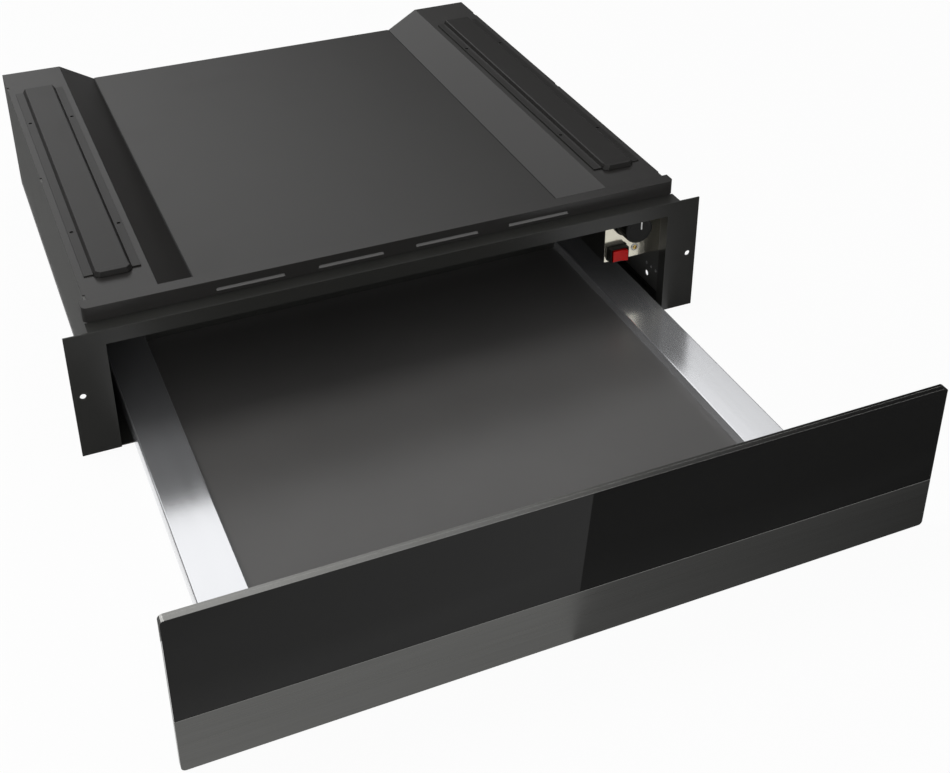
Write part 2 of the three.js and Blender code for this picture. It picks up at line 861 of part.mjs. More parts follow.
// Left wall, floor and an upturned flange on the cabinet wall, closed at the back.
function controlBox() {
  const y0 = plateY + plateSheet;
  const y1 = y0 + controlBoxDepth;
  const path = [
    [plateLeftX, wallTopZ],
    [plateLeftX, plateBottomZ],
    [innerWallX, plateBottomZ],
    [innerWallX, plateBottomZ + wallTopFlange],
  ];
  const folded = alongY(foldedSheet(path, plateSheet), y0, y1);
  const backTop = wallTopZ - cabinetSheet;
  const backPlate = box(
    plateLeftX + plateSheet / 2,
    innerWallX - plateSheet / 2,
    y1 - plateSheet,
    y1,
    plateBottomZ + plateSheet / 2,
    backTop,
  );
  const wires = [
    rod(knobX, knobZ, capillaryRadius + wireHole, y1 - 3 * plateSheet, y1 + plateSheet, 10),
    rod(harnessX, harnessZ, harnessRadius + wireHole, y1 - 3 * plateSheet, y1 + plateSheet, 12),
  ];
  const geometry = cut(joined(folded, backPlate), wallFlangeRelief(y0, y1), ...wires);
  return mesh('control_box', geometry, blackPaint);
}

// Clears the flange along the top of the side wall.
function wallFlangeRelief(y0, y1) {
  return box(
    halfCabinet - wallTopFlange - fitGap,
    halfCabinet,
    y0,
    y1 + plateSheet,
    wallTopZ - cabinetSheet - fitGap,
    wallTopZ + cabinetSheet,
  );
}

function controlPlate() {
  const shape = rectangle(plateLeftX, innerWallX, plateBottomZ, plateTopZ);
  shape.holes.push(roundHole(knobX, knobZ, spindleRadius + spindleClearance));
  shape.holes.push(roundHole(plateScrewX, plateScrewZ, plateScrewRadius));
  const halfW = switchWidth / 2 - switchWall;
  const halfH = switchHeight / 2 - switchWall;
  shape.holes.push(
    new THREE.Path(
      [
        [switchX - halfW, switchZ - halfH],
        [switchX - halfW, switchZ + halfH],
        [switchX + halfW, switchZ + halfH],
        [switchX + halfW, switchZ - halfH],
      ].map(([a, b]) => new THREE.Vector2(a, b)),
    ),
  );
  return mesh('control_plate', alongY(shape, plateY, plateY + plateSheet), stainless);
}

function thermostatBody() {
  const y0 = plateY + plateSheet;
  const y1 = y0 + thermostatDepth;
  const block = box(
    knobX - thermostatWidth / 2,
    knobX + thermostatWidth / 2,
    y0,
    y1,
    knobZ - thermostatHeight / 2,
    knobZ + thermostatHeight / 2,
  );
  const bellows = rod(knobX, knobZ, thermostatHeight / 3, y1 - plateSheet, y1 + thermostatDepth / 4);
  const bore = rod(knobX, knobZ, spindleRadius + spindleClearance, y0 - plateSheet, y0 + thermostatBore, 12);
  return mesh('thermostat_body', cut(joined(block, bellows), bore), palePlastic);
}

function thermostatSpindle() {
  const y0 = knobFrontY + knobLength / 4;
  const y1 = plateY + plateSheet + thermostatBore - fitGap;
  return mesh('thermostat_spindle', rod(knobX, knobZ, spindleRadius, y0, y1, 12), zincSteel);
}

// Gripped cap with a chamfered face, a wider skirt behind and a blind socket for the spindle.
function thermostatKnob() {
  const grip = new THREE.Shape();
  const steps = 4 * knobGrips;
  for (let i = 0; i < steps; i += 1) {
    const angle = (2 * Math.PI * i) / steps;
    const r = knobRadius - (i % 4 === 0 ? knobGripDepth : 0);
    if (i === 0) grip.moveTo(r * Math.cos(angle), r * Math.sin(angle));
    else grip.lineTo(r * Math.cos(angle), r * Math.sin(angle));
  }
  grip.closePath();
  const chamfer = knobLength / 12;
  const body = alongY(grip, knobFrontY + chamfer, knobBackY - knobSkirtLength / 2).translate(knobX, 0, knobZ);
  const face = turned(
    [
      [0, knobFrontY],
      [knobRadius - knobGripDepth - 2 * chamfer, knobFrontY],
      [knobRadius - knobGripDepth, knobFrontY + 1.5 * chamfer],
      [0, knobFrontY + 1.5 * chamfer],
    ],
    knobX,
    knobZ,
    36,
  );
  const skirt = rod(knobX, knobZ, knobSkirtRadius, knobBackY - knobSkirtLength, knobBackY, 36);
  const socketFront = knobFrontY + knobLength / 4 - fitGap;
  const socket = rod(knobX, knobZ, spindleRadius + spindleClearance, socketFront, knobBackY + plateSheet, 12);
  return mesh('thermostat_knob', cut(joined(body, face, skirt), socket), blackPlastic);
}

// Bezel with a pocket in front and a housing through the plate behind.
function switchBody() {
  const halfW = switchWidth / 2;
  const halfH = switchHeight / 2;
  const front = plateY - switchStand;
  const bezel = box(switchX - halfW, switchX + halfW, front, plateY, switchZ - halfH, switchZ + halfH);
  const inW = halfW - switchWall - fitGap;
  const inH = halfH - switchWall - fitGap;
  const back = plateY + plateSheet + switchHousingDepth;
  const housing = box(switchX - inW, switchX + inW, plateY - switchWall, back, switchZ - inH, switchZ + inH);
  const pocketW = halfW - switchWall;
  const pocketH = halfH - switchWall;
  const pocket = box(
    switchX - pocketW,
    switchX + pocketW,
    front - switchWall,
    plateY - switchWall,
    switchZ - pocketH,
    switchZ + pocketH,
  );
  return mesh('switch_body', cut(joined(bezel, housing), pocket), blackPlastic);
}

// A shallow V that tips about an upright pin in the middle of the bezel.
const rockerPivotY = plateY - switchStand + switchWall;
const pocketDepth = plateY - switchWall - rockerPivotY;

function switchRocker() {
  const halfW = switchWidth / 2 - switchWall - rockerClearance;
  const halfH = switchHeight / 2 - switchWall - rockerClearance;
  const tilt = THREE.MathUtils.degToRad(rockerTilt);
  const drop = halfW * Math.tan(tilt);
  const shape = outline([
    [-halfW * 0.9, -rockerStand - drop],
    [0, -rockerStand + drop / 2],
    [halfW * 0.9, -rockerStand - drop],
    [halfW * 0.8, drop],
    [0, pocketDepth - fitGap],
    [-halfW * 0.8, drop],
  ]);
  const geometry = new THREE.ExtrudeGeometry(shape, { depth: 2 * halfH, bevelEnabled: false });
  return mesh(
    'switch_rocker',
    geometry.translate(0, 0, -halfH).rotateZ(-tilt).translate(switchX, rockerPivotY, switchZ),
    redPlastic,
  );
}

// ---- Fan heater ----

function heaterCasing() {
  const half = heaterWidth / 2;
  const shape = rectangle(-half, half, heaterBottomZ, heaterTopZ);
  const hole = rectangle(-half + heaterSheet, half - heaterSheet, heaterBottomZ + heaterSheet, heaterTopZ - heaterSheet);
  shape.holes.push(new THREE.Path(hole.getPoints().reverse()));
  return mesh('heater_casing', alongY(shape, heaterFrontY + heaterSheet, backFaceY), zincSteel);
}

// Rings of intake holes before the wheel and outlet slots at both sides.
function heaterBaffle() {
  const half = heaterWidth / 2;
  const y0 = heaterFrontY;
  const y1 = y0 + heaterSheet;
  const plate = box(-half, half, y0, y1, heaterBottomZ, heaterTopZ);
  const tools = [rod(0, fanZ, intakeHoleRadius, y0 - 1, y1 + 1, 6)];
  for (let ring = 1; ring < intakeRings; ring += 1) {
    const count = 6 * ring;
    for (let i = 0; i < count; i += 1) {
      const angle = (2 * Math.PI * i) / count;
      const x = ring * intakePitch * Math.cos(angle);
      const z = fanZ + ring * intakePitch * Math.sin(angle);
      tools.push(rod(x, z, intakeHoleRadius, y0 - 1, y1 + 1, 6));
    }
  }
  const slotX = (half + elementRadius + elementTube) / 2;
  for (const side of [-1, 1]) {
    for (let i = 0; i < outletSlotCount; i += 1) {
      const z = fanZ + (i - (outletSlotCount - 1) / 2) * outletSlotPitch;
      const slot = new THREE.Shape(slotHole(side * slotX, z, outletSlotLength, outletSlotHeight).getPoints(2));
      tools.push(alongY(slot, y0 - 1, y1 + 1));
    }
  }
  return mesh('heater_baffle', cut(plate, ...tools), zincSteel);
}

// Shaded-pole motor: laminated stack, two bearing caps and a foot on the back wall.
function fanMotor() {
  const stackY = motorFrontY + motorCapDepth;
  const stackBack = stackY + motorStackDepth;
  const halfW = motorStackWidth / 2;
  const halfH = motorStackHeight / 2;
  const stack = box(-halfW, halfW, stackY, stackBack, fanZ - halfH, fanZ + halfH);
  const cap = rod(0, fanZ, motorCapRadius, motorFrontY, stackY + fitGap);
  const rear = rod(0, fanZ, motorCapRadius, stackBack - fitGap, stackBack + motorCapDepth);
  const feet = [-1, 1].map((side) => {
    const x = side * (halfW - motorCapDepth / 2);
    return rod(x, fanZ, motorCapDepth / 2, stackBack - fitGap, backFaceY, 12);
  });
  const bore = rod(0, fanZ, fanShaftRadius + fitGap, motorFrontY - fitGap, stackBack, 16);
  return mesh('fan_motor', cut(joined(stack, cap, rear, ...feet), bore), motorSteel);
}

function fanShaft() {
  const y0 = fanFrontY + fitGap;
  const y1 = motorFrontY + motorCapDepth + motorStackDepth - fitGap;
  return mesh('fan_shaft', rod(0, fanZ, fanShaftRadius, y0 + fanFloorSheet, y1, 16), zincSteel);
}

// Radial wheel: a hub, a back disc and curved blades.
function fanWheel() {
  const discY = fanBackY - fanFloorSheet;
  const disc = rod(0, fanZ, fanWheelRadius, discY, fanBackY, 30);
  const hub = rod(0, fanZ, fanHubRadius, fanFrontY, fanBackY, 24);
  const parts = [disc, hub];
  for (let i = 0; i < fanBladeCount; i += 1) {
    const blade = alongY(fanBladeSection(), fanFrontY, discY + fanFloorSheet / 2);
    blade.rotateY((2 * Math.PI * i) / fanBladeCount);
    parts.push(blade.translate(0, 0, fanZ));
  }
  const bore = rod(0, fanZ, fanShaftRadius + fitGap, fanFrontY + fanFloorSheet, fanBackY + fanFloorSheet, 16);
  return mesh('fan_wheel', cut(joined(...parts), bore), zincSteel);
}

// One backward-curved blade, from the hub to the rim, as an arc with a thickness.
function fanBladeSection() {
  const start = fanHubRadius + 5;
  const end = fanWheelRadius - 0.5;
  const steps = 4;
  const sweep = 0.55;
  const line = [];
  for (let i = 0; i <= steps; i += 1) {
    const t = i / steps;
    const r = start + (end - start) * t;
    const angle = sweep * t * t;
    line.push([r * Math.cos(angle), r * Math.sin(angle)]);
  }
  return foldedSheet(line, fanBladeSheet);
}

// A round element that circles the wheel, with both ends led back to the wall.
function heatingElement() {
  const half = THREE.MathUtils.degToRad(elementGapAngle / 2);
  const ringY = (fanFrontY + fanBackY) / 2;
  const bend = 3 * elementTube;
  const points = [];
  const ringPoint = (angle, y) =>
    new THREE.Vector3(elementRadius * Math.sin(angle), y, fanZ - elementRadius * Math.cos(angle));
  points.push(ringPoint(half, backFaceY));
  points.push(ringPoint(half, ringY + 2 * bend));
  points.push(ringPoint(half, ringY + bend));
  points.push(ringPoint(half + 0.06, ringY + bend / 4));
  const arcSteps = 20;
  for (let i = 0; i <= arcSteps; i += 1) {
    points.push(ringPoint(half + 0.2 + ((2 * Math.PI - 2 * half - 0.4) * i) / arcSteps, ringY));
  }
  points.push(ringPoint(2 * Math.PI - half - 0.06, ringY + bend / 4));
  points.push(ringPoint(2 * Math.PI - half, ringY + bend));
  points.push(ringPoint(2 * Math.PI - half, ringY + 2 * bend));
  points.push(ringPoint(2 * Math.PI - half, backFaceY));
  return mesh('heating_element', led(points, elementTube, 6, 52), elementSheath);
}

function thermalCutout() {
  const z0 = heaterTopZ;
  const x = heaterWidth / 2;
  const y = heaterFrontY + heaterDepth / 3;
  const can = new THREE.CylinderGeometry(cutoutRadius, cutoutRadius, cutoutDepth, 20).rotateZ(Math.PI / 2);
  const place = can.translate(x + cutoutDepth / 2, y, z0 - 3 * cutoutRadius);
  const tabs = [-1, 1].map((side) => {
    const ty = y + side * cutoutRadius * 0.5;
    const tz = z0 - 3 * cutoutRadius;
    return box(x + cutoutDepth - heaterSheet, x + 2 * cutoutDepth, ty - heaterSheet / 2, ty + heaterSheet / 2, tz - 3, tz + 3);
  });
  return mesh('thermal_cutout', joined(place, ...tabs), palePlastic);
}

// ---- Connection ----

function terminalBlock() {
  const x0 = glandX - terminalWidth / 2;
  const z0 = glandZ + glandFlange + 4;
  const block = box(x0, x0 + terminalWidth, backFaceY - terminalDepth, backFaceY, z0, z0 + terminalHeight);
  const wells = [-1, 0, 1].map((step) => {
    const x = glandX + (step * terminalWidth) / 3.2;
    return rod(x, z0 + terminalHeight / 2, terminalHeight / 5, backFaceY - 2 * terminalDepth, backFaceY - terminalDepth / 2, 10);
  });
  return mesh('terminal_block', cut(block, ...wells), palePlastic);
}

// A bushing with its flange outside and a nut inside; it has no cord.
function cableGland() {
  const outside = cabinetDepth + glandProud;
  const inside = backFaceY - glandProud * 2;
  const profile = [
    [glandBore, inside],
    [glandRadius, inside],
    [glandRadius, cabinetDepth],
    [glandFlange, cabinetDepth],
    [glandFlange - glandProud / 3, outside],
    [glandBore, outside],
    [glandBore, inside],
  ];
  return mesh('cable_gland', turned(profile, glandX, glandZ), blackPlastic);
}

// The nut that holds the bushing to the back wall.
function glandNut() {
  const outer = rod(glandX, glandZ, glandNutRadius, backFaceY - glandNutDepth, backFaceY, 6);
  const bore = rod(glandX, glandZ, glandRadius + 2 * fitGap, backFaceY - 2 * glandNutDepth, cabinetDepth, 24);
  return mesh('gland_nut', cut(outer, bore), blackPlastic);
}

// A round section led along a route of points.
function led(points, radius, sides, steps) {
  const section = new THREE.Shape();
  for (let i = 0; i < sides; i += 1) {
    const angle = (2 * Math.PI * (i + 0.5)) / sides;
    if (i === 0) section.moveTo(radius * Math.cos(angle), radius * Math.sin(angle));
    else section.lineTo(radius * Math.cos(angle), radius * Math.sin(angle));
  }
  section.closePath();
  const route = new THREE.CatmullRomCurve3(points, false, 'centripetal');
  return new THREE.ExtrudeGeometry(section, { steps, extrudePath: route, bevelEnabled: false });
}

// Fine tube from the thermostat to a bulb that lies against the heater's casing.
function thermostatCapillary() {
  const start = plateY + plateSheet + thermostatDepth + thermostatDepth / 4;
  const bulbX = heaterWidth / 2 + sensorRadius;
  const bulbY = heaterFrontY + heaterSheet;
  const tube = led(
    [
      new THREE.Vector3(knobX, start, knobZ),
      new THREE.Vector3(knobX, start + capillaryBend, knobZ),
      new THREE.Vector3(knobX, plateY + controlBoxDepth + capillaryBend, knobZ),
      new THREE.Vector3(knobX, sensorY - 2.5 * capillaryBend, knobZ),
      new THREE.Vector3(knobX, sensorY - capillaryBend, knobZ),
      new THREE.Vector3(knobX - capillaryBend / 2, sensorY, knobZ - capillaryBend / 2),
      new THREE.Vector3(bulbX + capillaryBend, sensorY + capillaryBend / 4, fanZ - capillaryBend),
      new THREE.Vector3(bulbX, bulbY - capillaryBend / 4, fanZ - capillaryBend),
      new THREE.Vector3(bulbX, bulbY + 1, fanZ - capillaryBend),
    ],
    capillaryRadius,
    6,
    26,
  );
  const bulb = rod(bulbX, fanZ - capillaryBend, sensorRadius, bulbY, bulbY + sensorLength, 12);
  return mesh('thermostat_capillary', joined(tube, bulb), zincSteel);
}

// The wires from the control box to the terminal block, in one sleeve.
function wiringHarness() {
  const start = plateY + plateSheet + switchHousingDepth + harnessBend / 2;
  const end = backFaceY - terminalDepth - fitGap;
  const blockZ = glandZ + glandFlange + 4 + terminalHeight / 2;
  const sleeve = led(
    [
      new THREE.Vector3(harnessX, start, harnessZ),
      new THREE.Vector3(harnessX, start + harnessBend, harnessZ),
      new THREE.Vector3(harnessX, plateY + controlBoxDepth + harnessBend, harnessZ),
      new THREE.Vector3(harnessX, end - 4.5 * harnessBend, harnessZ),
      new THREE.Vector3(harnessX, end - 3 * harnessBend, harnessZ),
      new THREE.Vector3((harnessX + glandX) / 2, end - 1.5 * harnessBend, (harnessZ + blockZ) / 2),
      new THREE.Vector3(glandX, end - harnessBend / 2, blockZ),
      new THREE.Vector3(glandX, end, blockZ),
    ],
    harnessRadius,
    8,
    24,
  );
  return mesh('wiring_harness', sleeve, blackPlastic);
}

// ---- Push latch ----

const latchFrontY = trayBackY + latchGap + plungerTravel + fitGap;

function latchHousing() {
  const block = box(
    latchX - latchWidth / 2,
    latchX + latchWidth / 2,
    latchFrontY,
    backFaceY,
    baseTopZ,
    baseTopZ + latchHeight,
  );
  const boreBack = backFaceY - cabinetSheet * 2;
  const bore = rod(latchX, baseTopZ + latchHeight / 2, plungerRadius + fitGap, latchFrontY - 1, boreBack, 16);
  return mesh('latch_housing', cut(block, bore), blackPlastic);
}

function latchPlunger() {
  const tip = trayBackY + latchGap;
  const back = backFaceY - cabinetSheet * 2 - plungerTravel - fitGap;
  return mesh('latch_plunger', rod(latchX, baseTopZ + latchHeight / 2, plungerRadius, tip, back, 16), palePlastic);
}

// ---- Assembly ----

const cabinet = new THREE.Group();
cabinet.position.y = -cabinetDepth / 2;
cabinet.add(
  basePan(),
  sideWall('side_wall_left', -1),
  sideWall('side_wall_right', 1),
  backWall(),
  topShoulder('top_shoulder_left', -1),
  topShoulder('top_shoulder_right', 1),
  topCentrePanel(),
  topFrontHeader(),
  fixingFrame(),
  topRail('top_rail_left', -1),
  topRail('top_rail_right', 1),
  runnerOuter('runner_outer_left', -1),
  runnerOuter('runner_outer_right', 1),
  controlBox(),
  controlPlate(),
  thermostatBody(),
  thermostatSpindle(),
  thermostatKnob(),
  switchBody(),
  switchRocker(),
  heaterCasing(),
  heaterBaffle(),
  heatingElement(),
  fanMotor(),
  fanShaft(),
  fanWheel(),
  thermalCutout(),
  terminalBlock(),
  cableGland(),
  glandNut(),
  thermostatCapillary(),
  wiringHarness(),
  latchHousing(),
  latchPlunger(),
);

function movedOut(share, ...pieces) {
  const group = new THREE.Group();
  group.position.y = -travelToPhoto * share;
  group.add(...pieces);
  cabinet.add(group);
}

const outerRowX = outerInsideX - raceWidth / 2;
const innerRowX = middleOutsideX - runnerSheet - raceWidth / 2;
const outerCageZ = baseTopZ + (runnerSheet + middleFloorRise - cageSheet) / 2;
const innerCageZ = baseTopZ + middleFloorRise + runnerSheet + ballClearance;

movedOut(
  0.25,
  ballCage('ball_cage_outer_left', -1, outerRowX, outerCageZ),
  ballCage('ball_cage_outer_right', 1, outerRowX, outerCageZ),
);
movedOut(0.5, runnerMiddle('runner_middle_left', -1), runnerMiddle('runner_middle_right', 1));
movedOut(
  0.75,
  ballCage('ball_cage_inner_left', -1, innerRowX, innerCageZ),
  ballCage('ball_cage_inner_right', 1, innerRowX, innerCageZ),
);
movedOut(
  1,
  runnerInner('runner_inner_left', -1),
  runnerInner('runner_inner_right', 1),
  traySide('tray_side_left', -1),
  traySide('tray_side_right', 1),
  trayFloor(),
  trayCrossRail('tray_front_rail', frontBackY, 1),
  trayCrossRail('tray_back_rail', trayBackY, -1),
  frontBacking(),
  frontGlass(),
  frontTrimStrip(),
  frontBracket('front_bracket_left', -1),
  frontBracket('front_bracket_right', 1),
);

const warmingDrawer = new THREE.Group();
warmingDrawer.add(cabinet);

export default warmingDrawer;
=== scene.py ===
import math

import bmesh
import bpy
from mathutils import Matrix, Vector


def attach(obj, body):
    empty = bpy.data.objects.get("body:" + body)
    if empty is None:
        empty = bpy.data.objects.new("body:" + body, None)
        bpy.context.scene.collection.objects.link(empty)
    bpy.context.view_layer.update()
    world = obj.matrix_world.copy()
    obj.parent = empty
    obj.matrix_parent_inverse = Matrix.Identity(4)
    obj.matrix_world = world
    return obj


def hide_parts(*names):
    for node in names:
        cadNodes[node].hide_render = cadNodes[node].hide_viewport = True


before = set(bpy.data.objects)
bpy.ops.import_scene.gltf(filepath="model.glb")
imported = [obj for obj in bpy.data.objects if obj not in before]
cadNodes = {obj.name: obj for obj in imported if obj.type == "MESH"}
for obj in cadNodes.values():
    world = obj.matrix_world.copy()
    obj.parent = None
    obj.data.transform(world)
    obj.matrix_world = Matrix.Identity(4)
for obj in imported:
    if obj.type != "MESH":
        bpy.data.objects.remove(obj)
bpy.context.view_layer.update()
scene = bpy.context.scene
mm = 0.001

# helpers for nodes and objects


def linear(red, green, blue):
    # screen colour 0..255 to the linear colour that shaders take
    parts = []
    for value in (red, green, blue):
        v = value / 255.0
        parts.append(v / 12.92 if v <= 0.04045 else ((v + 0.055) / 1.055) ** 2.4)
    return (*parts, 1.0)


def addNode(tree, kind, inputs=None, **settings):
    node = tree.nodes.new(kind)
    for key, value in settings.items():
        setattr(node, key, value)
    for key, value in (inputs or {}).items():
        if isinstance(value, bpy.types.NodeSocket):
            tree.links.new(value, node.inputs[key])
        else:
            node.inputs[key].default_value = value
    return node


def maths(tree, operation, *values):
    return addNode(tree, "ShaderNodeMath", dict(enumerate(values)), operation=operation).outputs[0]


def vectorOf(tree, x=0.0, y=0.0, z=0.0):
    return addNode(tree, "ShaderNodeCombineXYZ", {0: x, 1: y, 2: z}).outputs[0]


def spread(tree, value, low, high, start=0.3, end=0.7, **settings):
    # start to end becomes low to high, and what lies outside is held
    inputs = {"Value": value, "From Min": start, "From Max": end, "To Min": low, "To Max": high}
    return addNode(tree, "ShaderNodeMapRange", inputs, **settings).outputs["Result"]


def emptyTree(owner):
    owner.use_nodes = True
    owner.node_tree.nodes.clear()
    return owner.node_tree


def pointMesh(name, points, faces):
    mesh = bpy.data.meshes.new(name)
    mesh.from_pydata(points, [], faces)
    return mesh


def placed(name, data):
    item = bpy.data.objects.new(name, data)
    scene.collection.objects.link(item)
    return item


# camera

cameraLook = {
    "place": (-373.65, -1287.95, 785.45),
    "turn": -23.51,
    "down": 29.98,
    "roll": -0.07,
    "focalPixels": 1444.44,
    "axisColumn": 481.47,
    "axisRow": 226.26,
    "frame": (950, 773),
    "sensor": 36.0,
    "clip": (0.01, 100.0),
}


def placeCamera(look):
    turn, down, roll = (math.radians(look[key]) for key in ("turn", "down", "roll"))
    ahead = Vector((math.sin(-turn) * math.cos(down), math.cos(turn) * math.cos(down), -math.sin(down)))
    level = Vector((math.cos(turn), math.sin(turn), 0.0))
    above = level.cross(ahead)
    across = level * math.cos(roll) + above * math.sin(roll)
    upright = above * math.cos(roll) - level * math.sin(roll)
    width, height = look["frame"]
    data = bpy.data.cameras.new("photoCamera")
    data.sensor_fit = "HORIZONTAL"
    data.sensor_width = look["sensor"]
    data.lens = look["focalPixels"] / width * look["sensor"]
    data.shift_x = (width / 2 - look["axisColumn"]) / width
    data.shift_y = (look["axisRow"] - height / 2) / width
    data.clip_start, data.clip_end = look["clip"]
    camera = placed("photoCamera", data)
    axes = Matrix((across, upright, -ahead)).transposed().to_4x4()
    camera.matrix_world = Matrix.Translation(Vector(look["place"]) * mm) @ axes
    scene.camera = camera


placeCamera(cameraLook)
scene.view_settings.view_transform = "Standard"
print("camera placed")

# studio

studioLook = {
    "ambient": 0.46,
    "keyPlace": (-0.75, 0.05, 1.65),
    "keyAim": (-0.05, -0.2, 0.1),
    "keySize": 0.85,
    "keyPower": 10.0,
    "frontPlace": (-0.7, -2.2, 0.42),
    "frontSize": 1.0,
    "frontPower": 9.5,
    "floorSize": 24.0,
    "floorColour": (240, 240, 240),
    "floorGlow": 0.95,
    "skyEdge": 0.255,
    "skyTilt": 0.65,
    "skyBlend": 0.08,
    "skyLow": 0.03,
    "skyHigh": 1.2,
    "skyFront": 1.5,
    "skyTurn": -0.3,
}
boardLook = {
    "height": 0.0006,
    "lying": {
        "besideLeft": (0.13, [(-2.5, -0.5), (-0.259, -0.5), (-0.259, -0.262), (-2.5, -0.262)]),
        "besideRight": (0.16, [(0.272, -0.262), (0.36, -0.44), (0.36, -0.6), (2.5, -0.6), (2.5, -0.262)]),
        "alongLeft": (0.16, [(-2.5, -0.262), (-0.276, -0.262), (-0.276, 3.0), (-2.5, 3.0)]),
        "alongRight": (0.3, [(0.276, -0.262), (2.5, -0.262), (2.5, 3.0), (0.276, 3.0)]),
    },
    "edgePoint": (0.016, -0.6667),
    "edgeSlope": 0.6424,
    "rows": (-0.6225, -0.65, -0.70, -0.85, -3.2),
    "steps": (-2.0, -0.4, -0.0001, 0.0001, 0.45, 1.6),
    "nearTones": (0.57, 0.57, 0.43, 0.24, 0.03, 0.01),
    "farTones": (0.29, 0.33, 0.58, 0.16, 0.14, 0.14),
    "nearShare": (1.0, 0.9, 0.35, 0.0, 0.0),
    "flagY": 0.0,
    "flagHeights": (0.62, 1.2),
    "flagPlaces": (-0.28, -0.19, 0.1, 0.44, 0.74, 1.1, 1.6),
    "flagTones": (0.62, 0.62, 0.34, 0.10, 0.025, 0.01, 0.0),
}
white = (1, 1, 1, 1)


def placeLamp(name, place, aim, size, power):
    data = bpy.data.lights.new(name, "AREA")
    data.shape = "DISK"
    data.size = size
    data.energy = power
    away = Vector(place) - Vector(aim)
    turned = away.to_track_quat("Z", "Y").to_matrix().to_4x4()
    placed(name, data).matrix_world = Matrix.Translation(Vector(place)) @ turned


def seenDirectly(tree):
    # 1 where the camera, a reflection or a view through glass meets the backdrop
    path = addNode(tree, "ShaderNodeLightPath").outputs
    nearly = maths(tree, "MAXIMUM", path["Is Camera Ray"], path["Is Glossy Ray"])
    return maths(tree, "MAXIMUM", nearly, path["Is Transmission Ray"])


def tonedBoard(name, points, tones, faces, material):
    mesh = pointMesh(name, points, faces)
    shades = mesh.color_attributes.new("tone", "FLOAT_COLOR", "POINT")
    for item, tone in zip(shades.data, tones):
        item.color = (tone, tone, tone, 1.0)
    mesh.materials.append(material)
    board = placed(name, mesh)
    for kind in ("camera", "diffuse", "transmission", "volume_scatter", "shadow"):
        setattr(board, "visible_" + kind, False)


def gridFaces(rows, wide):
    starts = [row * wide + i for row in range(rows - 1) for i in range(wide - 1)]
    return [(start, start + 1, start + wide + 1, start + wide) for start in starts]


def buildBoards(look):
    # grey boards that only reflections meet
    material = bpy.data.materials.new("boardTone")
    tree = emptyTree(material)
    shade = addNode(tree, "ShaderNodeVertexColor", layer_name="tone")
    glow = addNode(tree, "ShaderNodeEmission", {"Strength": 1.0, "Color": shade.outputs["Color"]})
    addNode(tree, "ShaderNodeOutputMaterial", {"Surface": glow.outputs[0]})
    height = look["height"]
    for name, (tone, corners) in look["lying"].items():
        count = len(corners)
        tonedBoard(name, [(x, y, height) for x, y in corners], [tone] * count, [tuple(range(count))], material)

    # the board before the glass is lighter to the left of a slanting line
    points, tones = [], []
    for row, share in zip(look["rows"], look["nearShare"]):
        edge = look["edgePoint"][0] + (look["edgePoint"][1] - row) * look["edgeSlope"]
        points += [(edge + step, row, height) for step in look["steps"]]
        tones += [near * share + far * (1 - share) for near, far in zip(look["nearTones"], look["farTones"])]
    tonedBoard("beforeGlass", points, tones, gridFaces(len(look["rows"]), len(look["steps"])), material)

    # the flag stands over the cabinet
    heights = look["flagHeights"]
    points = [(x, look["flagY"], z) for x in look["flagPlaces"] for z in heights]
    tones = [tone for tone in look["flagTones"] for z in heights]
    tonedBoard("edgeFlag", points, tones, gridFaces(len(look["flagPlaces"]), len(heights)), material)


def skyTone(tree, look):
    # what reflections meet above the floor: dim low down at the back right, pale elsewhere
    where = addNode(tree, "ShaderNodeTexCoord").outputs["Generated"]
    way = addNode(tree, "ShaderNodeSeparateXYZ", {0: where}).outputs
    rightward = maths(tree, "MAXIMUM", way[0], 0.0)
    edge = maths(tree, "MULTIPLY_ADD", rightward, look["skyTilt"], look["skyEdge"])
    above = maths(tree, "SUBTRACT", way[2], edge)
    half = look["skyBlend"] / 2
    tone = spread(tree, above, look["skyLow"], look["skyHigh"], -half, half, interpolation_type="SMOOTHSTEP")
    front = spread(tree, way[1], 0.0, look["skyFront"], 0.0, look["skyTurn"])
    return maths(tree, "MAXIMUM", tone, front)


def buildWorld(look):
    world = bpy.data.worlds.new("studioWorld")
    tree = emptyTree(world)
    ambient = addNode(tree, "ShaderNodeBackground", {"Color": white, "Strength": look["ambient"]})
    backdrop = addNode(tree, "ShaderNodeBackground", {"Color": white, "Strength": 1.0})
    glossy = addNode(tree, "ShaderNodeLightPath").outputs["Is Glossy Ray"]
    toned = addNode(tree, "ShaderNodeMix", {0: glossy, 2: 1.0, 3: skyTone(tree, look)}, data_type="FLOAT")
    tree.links.new(toned.outputs[0], backdrop.inputs["Strength"])
    shaders = {0: seenDirectly(tree), 1: ambient.outputs[0], 2: backdrop.outputs[0]}
    mix = addNode(tree, "ShaderNodeMixShader", shaders)
    addNode(tree, "ShaderNodeOutputWorld", {0: mix.outputs[0]})
    scene.world = world


def buildFloor(look):
    half = look["floorSize"] / 2
    corners = [(-half, -half, 0), (half, -half, 0), (half, half, 0), (-half, half, 0)]
    mesh = pointMesh("studioFloor", corners, [(0, 1, 2, 3)])
    floor = placed("studioFloor", mesh)
    material = bpy.data.materials.new("paleFloor")
    tree = emptyTree(material)
    matt = addNode(tree, "ShaderNodeBsdfDiffuse", {"Color": linear(*look["floorColour"])})
    glow = addNode(tree, "ShaderNodeEmission", {"Color": white, "Strength": 1.0})
    share = maths(tree, "MULTIPLY", seenDirectly(tree), look["floorGlow"])
    mix = addNode(tree, "ShaderNodeMixShader", {0: share, 1: matt.outputs[0], 2: glow.outputs[0]})
    addNode(tree, "ShaderNodeOutputMaterial", {"Surface": mix.outputs[0]})
    mesh.materials.append(material)


